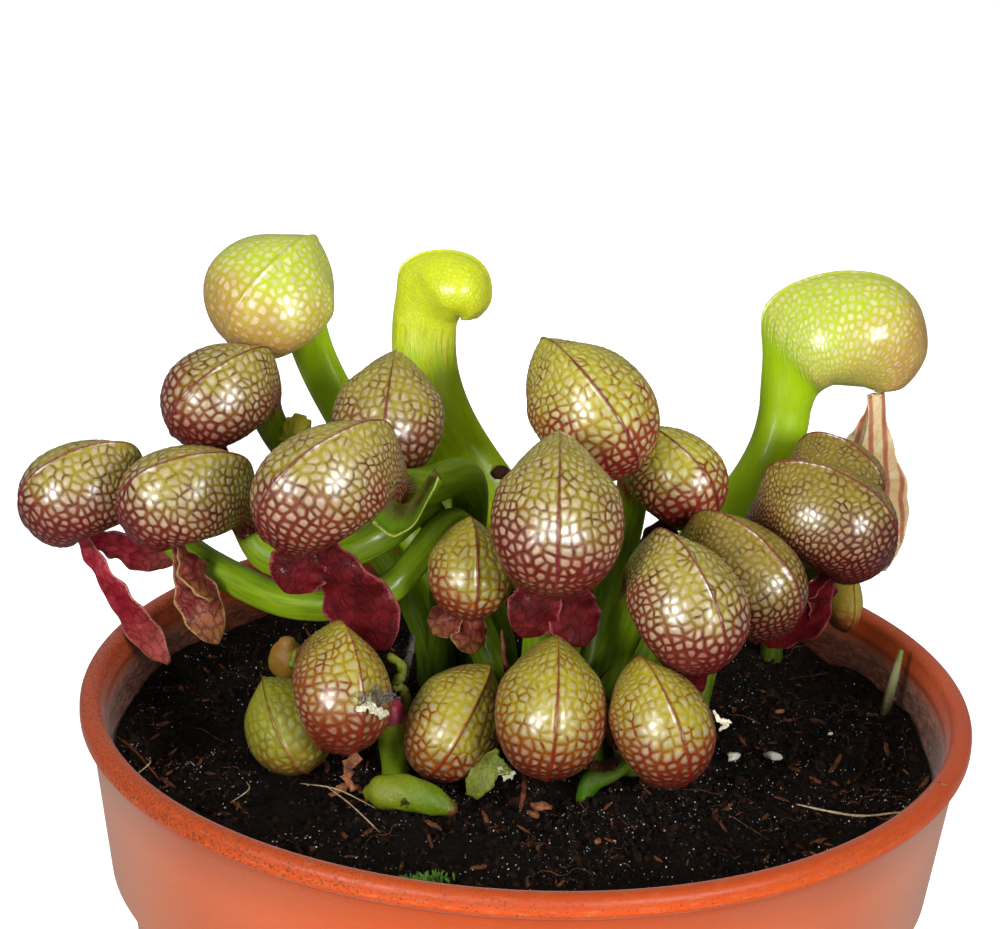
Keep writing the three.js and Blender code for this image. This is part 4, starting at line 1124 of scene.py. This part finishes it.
SKINS = {
    "net": {},
    "fresh": toned(LEAF_TONES, "bab07c bc8c66 a8a02e 945026 7e1a1a 761e18"),
    "dark": toned(LEAF_TONES, "9c8050 98664c 7c6c1c 5e341a 4a1014 3c100c", Window_Size=1.15),
    "ochre": toned(LEAF_TONES, "a69c88 b08c6c 9a8e24 8c5a1c 6a2414 6e2410 741c10",
                   Clear=0.75, Softness=1.6, By_Turn=1.0),
    "moss_green": toned(LEAF_TONES, "8f8f4e 94803e 838416 80641a 6a4416 6a5814 84401a",
                        Veins=0.7, Clear=0.7),
    "lime": toned(LEAF_TONES, "d4c8a0 cca488 aebf34 b7ae38 a88440 a89c34 a88a38 9cbc0c 88b008 a0bc1c",
                  Veins=0.35, By_Ahead=0.75, By_Turn=0.3, By_Fall=0.25, Clear=0.8),
    "young": toned(LEAF_TONES, "d6da50 d6d448 c0cc1c c6c824 c4bc28 a8b01c a8a820 b0c80c 84ac08 acc410",
                   Veins=0.25, Clear=0.6, By_Turn=0.2, By_Fall=0.2),
    "bud": toned(LEAF_TONES, "a8863c a0683a 96842c 946028 6e3a1c 84401c 7a3418 7c7c20",
                 Veins=0.3, Clear=0.5),
}
BLADES = {
    "crimson": toned(BLADE_TONES, "3e0608 621018 240303 94484a 561010", Mottling=0.35),
    "rose": toned(BLADE_TONES, "7c1220 a03640 4e0812 c08078 a05c4c", Mottling=0.45),
    "mottled": toned(BLADE_TONES, "621a1c 8c4636 3c080c a88e5c 8a6230", Mottling=0.6),
    "orange": toned(BLADE_TONES, "a8502c b87044 943020 c8885c b0502c"),
    "cream": toned(BLADE_TONES, "d2b482 dcc89c 9c3028 e0d0a8 ccbc88", Mottling=0.08, Stripes=0.75),
}


def terracotta_plastic(t):
    """The pot's plastic: paler at the sides as painted sheen, dusty at the lip, with painted shade on and
    under the lip and on the inner wall.
    """
    place = t.here()
    aside, _, high = t.axes(place)
    broad = t.noise(place, 0.05, 3.0)
    fine = t.noise(place, 2.6, 5.0, 0.7)
    scuff = t.noise(t.vector("MULTIPLY", place, (0.5, 0.5, 2.6)), 1.1, 4.0, 0.7)
    colour = t.mix(broad.span(0.3, 0.7), "c8480f", "d05219")
    # Painted sheen: paler towards both sides, under the lip, where the grazing sides would catch light from
    # the white stage.
    painted_sheen_off_middle, below = t.math("ABSOLUTE", aside), high.span(100.0, 102.0, 1.0, 0.0)
    colour = t.mix(painted_sheen_off_middle.span(5.0, 50.0, 0.15, 0.8) * below, colour, "c87454")
    colour = t.mix(painted_sheen_off_middle.span(38.0, 58.0, 0.0, 0.5) * below, colour, "e0b49c")
    # Dust and dirt on the lip, most where it is worn, at the left.
    near_lip = high.span(100.5, 103.5)
    worn = aside.span(20.0, -50.0) * near_lip
    dust = scuff.span(0.5, 0.72) * near_lip.fade(0.08, 0.3)
    dust = (dust + worn * fine.span(0.5, 0.62, 0.0, 0.5)).clamped()
    colour = t.mix(dust, colour, "d09c70")
    dirt = (fine + worn * 0.09).span(0.57, 0.66) * near_lip.fade(0.12, 0.85)
    colour = t.mix(dirt.clamped(), colour, "4c1e0e")
    # Painted shade: the top of the lip darker, partly against the light from above and partly brown dust.
    colour = t.mix(high.span(102.8, 104.6) * 0.6, colour, "8a3410")
    # Painted shadow: a thin dark line under the lip, where the bead overhangs the collar.
    painted_lip_shadow = high.span(101.2, 101.7) * high.span(102.0, 102.4, 1.0, 0.0)
    colour = t.mix(painted_lip_shadow * 0.45, colour, "6c1c06")
    # Painted shade: the inner wall above the peat darkened, in patches.
    radius = t.vector("LENGTH", t.vector("MULTIPLY", place, (1.0, 1.0, 0.0)), pick="Value")
    inside = t.math("LESS_THAN", radius, high.span(COLLAR_FOOT_Z, POT_HEIGHT, 54.6, 58.3, "LINEAR"))
    painted_inner_shade = inside * t.math("GREATER_THAN", high, 90.0) * high.span(104.5, 99.0, 0.0, 0.92)
    colour = t.mix(painted_inner_shade * scuff.span(0.3, 0.6, 0.6, 1.0), colour, "2c0c06")
    return colour, fine.span(0.3, 0.7, 0.36, 0.5) + dust * 0.4, fine * 0.03 + scuff * 0.02


def peat_surface(t):
    """Black peat with brown crumbs."""
    place = t.here()
    fine = t.noise(place, 2.4, 6.0, 0.75)
    broad = t.noise(place, 0.3, 4.0, 0.6)
    crumbs = t.cells(place, "F1", 1.1, 1.0, "3D")["Distance"]
    colour = t.mix(broad.span(0.4, 0.7), "0a0502", "1a0f06")
    colour = t.mix(fine.span(0.58, 0.75, 0.0, 0.8), colour, "44280f")
    return colour, t.noise(place, 1.3, 3.0).span(0.35, 0.65, 0.6, 0.95), fine * 0.9 - crumbs * 0.9


def bits(dark, light, rough_low, rough_high, grain=2.5, depth=0.2):
    """The finish of small bits, from dark to light in grains."""
    def build(t):
        place = t.here()
        tone = t.noise(place, grain, 4.0, 0.7)
        drift = t.noise(place, 0.3, 2.0)
        colour = t.mix((tone + drift * 0.6).span(0.6, 1.05), dark, light)
        return colour, tone.span(0.25, 0.6, rough_low, rough_high), tone * depth
    return build


def green_limb(top, foot, tip, tip_from, scar=(0, 0, 0)):
    """A green skin from foot to top with its own tip and, at a place, a dark scar."""
    def build(t):
        _, _, up, _ = t.layer("blade")
        place = t.here()
        fine = t.noise(place, 2.4, 4.0, 0.65)
        colour = t.mix(up.span(0.2, 0.75), foot, top)
        colour = t.mix(fine.span(0.55, 0.75, 0.0, 0.4), colour, "a8a040")
        reach = up + fine.sway(0.05)
        colour = t.mix(reach.span(tip_from, tip_from + 0.08), colour, tip)
        away = t.vector("DISTANCE", place, scar, "Value") + fine.sway(0.3)
        colour = t.mix(away.span(0.4, 0.8, 0.9, 0.0), colour, "241408")
        return colour, fine.span(0.3, 0.7, 0.24, 0.42), fine * 0.12
    return build


# Making.
netted_leaf, tongue_blade = netted_leaf_group(), blade_group()
raised_net, strewn = relief_tree(), scatter_tree()
tongues = bmesh.new()
blade_skins = {key: living_skin("blade_" + key, tongue_blade, values, index=1.18, soft=0.04)
               for key, values in BLADES.items()}
for order, (key, pitcher) in enumerate(PITCHERS.items()):
    skin = pitcher.get("skin", "net")
    # Lime and young skins glow faintly in their own colour: painted light for the light that shines through
    # them.
    painted_glow = dict(soft=0.3, Emission_Strength=0.04) if skin in ("lime", "young") else {}
    values = {**SKINS[skin], "Flush": pitcher.get("flush", 0.0)}
    clad = living_skin("leaf_" + key, netted_leaf, values, **painted_glow)
    bare = make_pitcher("bare_" + key, pitcher, order + 1)
    depth = RELIEF.get(skin, NET_RELIEF)
    leaf = grown_by(raised_net, bare, "netted_pitcher_" + key, {"Depth": depth * MM, "Material": clad})
    bpy.data.objects.remove(bare)
    finish_piece(leaf, "pitcher_" + key, HOOD_SLOTS[skin])
    if "tongue" in pitcher:
        blades = make_blades("forked_tongue_" + key, tongue_root(pitcher), pitcher["tongue"], order + 1)
        blade = pitcher.get("blade", "crimson")
        finish_piece(blades, "tongue_" + key, BLADE_SLOTS[blade], blade_skins[blade])
        tongues.from_mesh(blades.data)

# Fine hairs, strewn over all the tongues together.
every_tongue = bpy.data.meshes.new("tongue_ground")
tongues.to_mesh(every_tongue)
tongues.free()
tongue_ground = bpy.data.objects.new("tongue_ground", every_tongue)
bpy.context.scene.collection.objects.link(tongue_ground)
hair = solid("hair", *strand_of([(0, 0, 0), (0.04, 0, 0.3), (0.13, 0, 0.6)], 0.022, 3, 3, 0.3))
hairs = grown_by(strewn, tongue_ground, "fine_hairs", {
    "Shape": hair, "Per Square Metre": 450000.0, "Smallest": 0.4, "Largest": 1.0, "Clumping": 0.2,
    "Tumble": 0.2, "Lift": 0.0, "Seed": 7,
    "Material": surface_material("hair_finish", bits("843c3c", "c88c88", 0.3, 0.6))})
bpy.data.objects.remove(hair)
bpy.data.objects.remove(tongue_ground)
finish_piece(hairs, None, "tongue_crimson")

wing_green = surface_material("wing_green", green_limb("5c7c14", "44400f", "9ca44c", 0.93), IOR=1.2)
finish_piece(make_wing(), "wing_left_front", "stem_green", wing_green)

LIMB_FINISH = {
    "stub_lying": ("stem_green", green_limb("52690e", "727a1a", "5c3816", 0.86, (-15, -24.9, 99.3))),
    "stub_upright": ("stem_green", green_limb("74881a", "6c8416", "84283c", 0.72)),
    "stub_hooked": ("stem_green", green_limb("6c8c1c", "3c6410", "b4b884", 0.8)),
    "bud_left": ("hood_ochre", green_limb("846022", "5c5c1c", "8c6830", 0.9)),
    "dry_stalk": ("dry_straw", green_limb("7c7c54", "342814", "6c702c", 0.8)),
}
for key, places in STUBS.items():
    limb_slot, finish = LIMB_FINISH[key]
    limb = make_stub(key, places)
    finish_piece(limb, key, limb_slot, surface_material("finish_" + key, finish, IOR=1.35))

terracotta = surface_material("terracotta_plastic", terracotta_plastic, IOR=1.4, Sheen_Weight=0.3,
                              Sheen_Roughness=0.3)
finish_piece(make_pot(), "pot", "pot_plastic", terracotta)

top = soil_top()
finish_piece(make_soil(top), "soil", "peat", surface_material("wet_peat_finish", peat_surface, IOR=1.25))

crumb = surface_material("peat_crumb", bits("060301", "2a1607", 0.2, 0.8, 4.0), IOR=1.25)
# Painted glints: pale beads strewn on the peat stand for the glints of its wet crumbs.
bead = surface_material("painted_glint_bead", bits("6c7074", "f0f4f8", 0.1, 0.2, 1.5))
bark = surface_material("bark_crumb", bits("281408", "744020", 0.35, 0.8), IOR=1.35)
root_fibre = surface_material("root_fibre", bits("2a1206", "7a4626", 0.4, 0.7))
ground = top[STREWN_ROWS]
bed = solid("bed", ground.reshape(-1, 3), [ring_faces(len(ground), SOIL_COLUMNS)[0]])
SPARSE, DENSE = 0.5, 0.2

# The shape, material, number per square metre, least and greatest size, clumping, tumble and lift.
STREWN = [
    ("peat_grains", lump_of(1, 1.0, 1, (1.3, 1, 0.7)), crumb, 800000, 0.2, 1.1, DENSE, 3.0, 0.08),
    # painted glints: pale specks on the peat
    ("water_beads", lump_of(1, 2.5, 1, (1.2, 1, 0.7)), bead, 450000, 0.08, 0.24, SPARSE, 3.0, 0.3),
    ("peat_lumps", lump_of(1, 4.0, 2, (1.3, 0.9, 0.7)), crumb, 36000, 0.8, 2.0, SPARSE, 3.0, -0.1),
    ("bark_crumbs", lump_of(1, 7.0, 1, (2.1, 0.6, 0.35)), bark, 80000, 0.3, 1.5, SPARSE, 0.6, 0.2),
    ("root_fibres",
     strand_of([(-3.5, 0, 0), (-1.5, 0.7, 0.3), (0.4, -0.3, 0.1), (2, 0.5, 0.4), (3.5, 0, 0)], 0.05, 10, 4),
     root_fibre, 42000, 0.2, 1.2, SPARSE, 0.35, 0.3),
]
for order, (name, shape, stuff, number, least, most, clumping, tumble, lift) in enumerate(STREWN):
    seedling = solid("shape", *shape)
    strew = grown_by(strewn, bed, name, {
        "Shape": seedling, "Per Square Metre": float(number), "Smallest": least, "Largest": most,
        "Clumping": clumping, "Tumble": tumble, "Lift": lift * MM, "Seed": 11 + order, "Material": stuff},
        facets=True)
    bpy.data.objects.remove(seedling)
    finish_piece(strew, None, "peat")
bpy.data.objects.remove(bed)

# Loose scraps on the peat and among the hoods.
SCRAPS = [
    ("perlite_grains", "peat", bits("b4ac98", "e4e0d4", 0.5, 0.8), [
        lump_of(2.5, 2.0, 2, (1, 0.55, 0.4), 60, (28.4, -2.3, 97.4)),
        lump_of(2.4, 5.0, 2, (1, 0.6, 0.4), -35, (33.8, -1.4, 97.4)),
        lump_of(0.9, 6.0, 1, (1, 0.7, 0.5), 0, (52, 19.6, 97.2)),
        lump_of(0.9, 8.0, 1, (1, 0.7, 0.5), 40, (42.2, 6.9, 97.2))]),
    ("dry_flakes", "dry_straw", bits("4c2410", "a86838", 0.5, 0.8), [
        lump_of(2.6, 3.0, 2, (1, 0.7, 0.4), 20, (2.6, -20.4, 97.6)),
        lump_of(2.0, 9.0, 2, (0.6, 1, 0.35), 50, (1.6, -22.6, 97.5)),
        lump_of(1.6, 4.0, 1, (1, 0.6, 0.4), 70, (10, -28.7, 97.2)),
        lump_of(1.7, 12.0, 1, (1, 0.5, 0.4), 30, (35.5, 13, 97.4)),
        lump_of(1.3, 14.0, 1, (1.2, 0.5, 0.4), -20, (53.9, -23.5, 104.9)),
        ribbon_of([(-22.6, -20, 106), (-22, -20.4, 103.6), (-22.8, -20.2, 101), (-22, -20.8, 98.6)],
                  [0.7, 1.6, 1.3, 0.4], 0.3, (0.2, -1, 0.3), 0.5, 0.35, 1.0),
        ribbon_of([(-24.9, -20.4, 97.6), (-22.6, -19.4, 98.6), (-20.6, -19.6, 97.9)],
                  [0.5, 1.4, 0.4], 0.25, (0, -0.4, 1), 0.4, 0.35, 4.0)]),
    ("brown_roots", "dry_straw", bits("32140a", "8c4a26", 0.3, 0.6), [
        strand_of([(-3.6, -6, 116), (-3.1, -6.2, 112.4), (-2.6, -6, 109), (-2.4, -6.3, 99)], 0.42),
        strand_of([(10.2, -13.6, 106.6), (12.1, -14, 104.7), (13.9, -14.2, 103)], 1.1, ends=0.7),
        strand_of([(8.6, -15.4, 101.3), (10.8, -14.4, 100.9), (12.6, -12.6, 101)], 0.8, ends=0.6),
        strand_of([(8.6, -8, 108.7), (9.8, -8.2, 110.8), (11.2, -8, 112.6)], 0.14),
        strand_of([(0, -11.8, 99), (0.3, -17, 98.4), (-0.1, -22.7, 97.7)], 0.35),
        strand_of([(28, 10.2, 97.8), (30.4, 8.4, 98.5), (32.6, 7.4, 97.9)], 0.12),
        strand_of([(-54.9, -6.9, 98.4), (-51.6, -12.4, 98.9), (-47.2, -19.8, 98.3)], 0.2)]),
    ("pale_threads", "dry_straw", bits("7c6846", "c8b48a", 0.5, 0.8), [
        strand_of([(36, -17.6, 98.2), (39.3, -19.4, 98.4), (43.7, -23.8, 100), (48.4, -28.8, 103.3)], 0.17),
        strand_of([(-25.8, -18.1, 98), (-22, -24.4, 98.5), (-17.8, -30.5, 97.8)], 0.11),
        strand_of([(-29.1, -17.9, 98), (-24, -21, 98.9), (-18.8, -24.1, 98)], 0.09),
        strand_of([(-50, -13, 98.3), (-49, -16.4, 99.2), (-50.5, -19, 98.6)], 0.09),
        strand_of([(-36, -19, 98.4), (-35.4, -22, 98.8), (-37.5, -25, 98.2)], 0.08)]),
    ("mouldy_stalk", "dry_straw", bits("3a3430", "a49c90", 0.6, 0.9, 3.5, 0.4), [
        strand_of([(-15.6, 0, 112.2), (-16, -0.2, 109.2), (-16.5, 0, 106.4), (-16.8, 0.2, 99)], 0.6)]),
    ("torn_shreds", "tongue_cream", bits("a8a484", "e6e2c8", 0.5, 0.8), [
        ribbon_of([(-21.6, -24.1, 111.6), (-20.2, -23.5, 112.2), (-18.7, -22.5, 110.8), (-17.6, -20.8, 110)],
                  [0.6, 1.1, 1.2, 0.3], 0.2, (0.1, -1, 0.5), 0.6, 0.35, 2.0),
        ribbon_of([(24, -22.6, 113.4), (24.7, -23.2, 112.4), (25.6, -23, 111.8), (24.9, -22.6, 110.6)],
                  [0.3, 0.6, 0.8, 0.3], 0.2, (0.5, -1, 0.3), 0.6, 0.3, 5.0),
        ribbon_of([(25, -22.8, 111.8), (25.8, -23, 112.2), (26.4, -23.2, 112)], [0.4, 0.45, 0.2], 0.2,
                  (0, -1, 0.4), 0.5, 0.25, 7.0),
        ribbon_of([(-3.2, -17.4, 101.4), (-2, -17.6, 100.4), (-0.9, -17.6, 100.9)], [0.5, 1.2, 0.3], 0.2,
                  (0, -1, 0.5), 0.5, 0.4, 8.0)]),
    ("grey_fluff", "dry_straw", bits("3c3a34", "a8a498", 0.7, 0.95, 4.0, 0.5),
     tangle([(-20.7, -23.2, 113.3), (-19.3, -21.7, 113.1), (-17.9, -19.8, 111.8), (-18.7, -21.5, 112)],
            0.8, 160, 31)),
    ("yellow_bract", "stem_green", bits("b4b81a", "ecd84c", 0.35, 0.6), [
        strand_of([(-35.6, 25.5, 129.9), (-34.8, 24.0, 131.8), (-33.3, 22.5, 133.4), (-32.3, 21.0, 133.1)],
                  1.5, ends=0.8)]),
    ("maroon_scale", "tongue_crimson", bits("240606", "5c1812", 0.3, 0.5), [
        lump_of(2.2, 17.0, 2, (1.2, 0.5, 0.9), 20, (-5, 28.5, 125.5))]),
    ("green_sepal", "stem_green", bits("525e0c", "868e22", 0.3, 0.5), [
        ribbon_of([(-3.4, -15.6, 103.2), (-4.6, -16.4, 101.2), (-5.6, -17, 99.2), (-6.6, -17.2, 97)],
                  [0.6, 3.2, 3.6, 1.6], 0.7, (0.1, -1, 0.3), 0.4, 0.06, 1.0),
        ribbon_of([(-4, -16.4, 102.4), (-2.6, -17.2, 101.2), (-1.4, -17.4, 100.7)], [1.4, 1.7, 0.5], 0.5,
                  (0, -1, 0.3), 0.5, 0.1, 3.0),
        strand_of([(-18.6, -8, 112.4), (-16.9, -8.2, 111.5), (-16.6, -8, 109.8), (-17.4, -8.2, 108.4),
                   (-16.2, -8, 107.6), (-16.4, -7.8, 98)], 0.7, ends=0.8),
        strand_of([(-31.6, -3.4, 108), (-31, -2, 109.6), (-30, -1.6, 108.6), (-30, -1.2, 99)], 0.7,
                  ends=0.8)]),
]
for name, scrap_slot, finish, parts in SCRAPS:
    scrap = solid(name, *joined(parts))
    finish_piece(scrap, None, scrap_slot, surface_material(name + "_finish", finish))

# A patch of moss: small pointed leaves on bent stems.
MOSS_MIDDLE = (-12.5, -40.0)
MOSS_REACH = (3.4, 1.5)
MOSS_LEAVES = 130
rng = np.random.default_rng(29)
tufts = []
for n in range(MOSS_LEAVES):
    x, y = (m + r * s for m, r, s in zip(MOSS_MIDDLE, MOSS_REACH, rng.normal(0, 0.5, 2)))
    z = float(soil_height(x, y))
    lean = rng.normal(0, 0.5, 2)
    tall = rng.uniform(0.7, 1.6)
    tufts.append(strand_of([(x, y, z), (x + 0.4 * lean[0], y + 0.4 * lean[1], z + 0.6 * tall),
                            (x + lean[0], y + lean[1], z + tall)], 0.16, 5, 4, 0.1))
finish_piece(solid("moss_patch", *joined(tufts)), None, "stem_green",
             surface_material("moss_finish", bits("2c5c10", "6c9c34", 0.5, 0.8)))


# Stage, light and camera.
FLOOR_REACH = 4.0
bpy.ops.mesh.primitive_plane_add(size=2 * FLOOR_REACH, location=(0, 0, -0.0002))
floor = bpy.context.object
floor.name = "pale_floor"
paper = bpy.data.materials.new("pale_paper")
paper.use_nodes = True
sheet = paper.node_tree.nodes["Principled BSDF"].inputs
for label, value in {"Base Color": (0.8, 0.8, 0.8, 1), "Roughness": 0.8, "Specular IOR Level": 0.1,
                     "Emission Color": (1, 1, 1, 1), "Emission Strength": 0.75}.items():
    sheet[label].default_value = value
floor.data.materials.append(paper)
floor.visible_glossy = False
floor.visible_diffuse = False

BACKDROP = 1.0
FILL = 0.15
world = bpy.data.worlds.new("studio")
bpy.context.scene.world = world
world.use_nodes = True
sky = Maker(world.node_tree)
backdrop = world.node_tree.nodes["Background"].inputs
backdrop["Color"].default_value = (1, 1, 1, 1)
seen = sky.out("ShaderNodeLightPath", pick="Is Camera Ray")
sky.put(backdrop["Strength"], seen.fade(FILL, BACKDROP, "LINEAR"))
bpy.context.scene.view_settings.view_transform = "Standard"

TARGET = Vector((0, 0, 0.105))


def softbox(name, place, size, power, mirrored=True):
    """A round lamp that looks at the target; one that isn't mirrored lights without a glint."""
    lamp = bpy.data.lights.new(name, "AREA")
    lamp.shape = "DISK"
    lamp.size = size
    lamp.energy = power
    box = bpy.data.objects.new(name, lamp)
    box.location = place
    box.rotation_euler = (TARGET - Vector(place)).to_track_quat("-Z", "Y").to_euler()
    box.visible_glossy = mirrored
    bpy.context.scene.collection.objects.link(box)


softbox("left_box", (-0.36, -0.5, 0.34), 0.25, 3.5)
softbox("right_box", (0.38, -0.5, 0.34), 0.25, 3.5)
softbox("low_box", (0.0, -0.5, 0.03), 0.5, 1.0, mirrored=False)
softbox("top_box", (0.0, 0.1, 0.9), 0.6, 2.2, mirrored=False)
softbox("back_box", (-0.2, 0.7, 0.5), 0.6, 1.8, mirrored=False)

CAMERA_AT = Vector((0, -0.39595, 0.28421))
CAMERA_AIM = Vector((-0.004834, 0, 0.13716))
CAMERA_ROLL = math.radians(2.378)
FOCAL_PIXELS = 3200
IMAGE_WIDTH = 1000
SENSOR = 36
ahead = (CAMERA_AIM - CAMERA_AT).normalized()
level = ahead.cross(Vector((0, 0, 1))).normalized()
upright = level.cross(ahead)
right = level * math.cos(CAMERA_ROLL) + upright * math.sin(CAMERA_ROLL)
upright = upright * math.cos(CAMERA_ROLL) - level * math.sin(CAMERA_ROLL)
lens = bpy.data.cameras.new("view")
lens.sensor_width = SENSOR
lens.lens = FOCAL_PIXELS / IMAGE_WIDTH * SENSOR
camera = bpy.data.objects.new("view", lens)
camera.matrix_world = Matrix((right, upright, -ahead)).transposed().to_4x4()
camera.location = CAMERA_AT
bpy.context.scene.collection.objects.link(camera)
bpy.context.scene.camera = camera
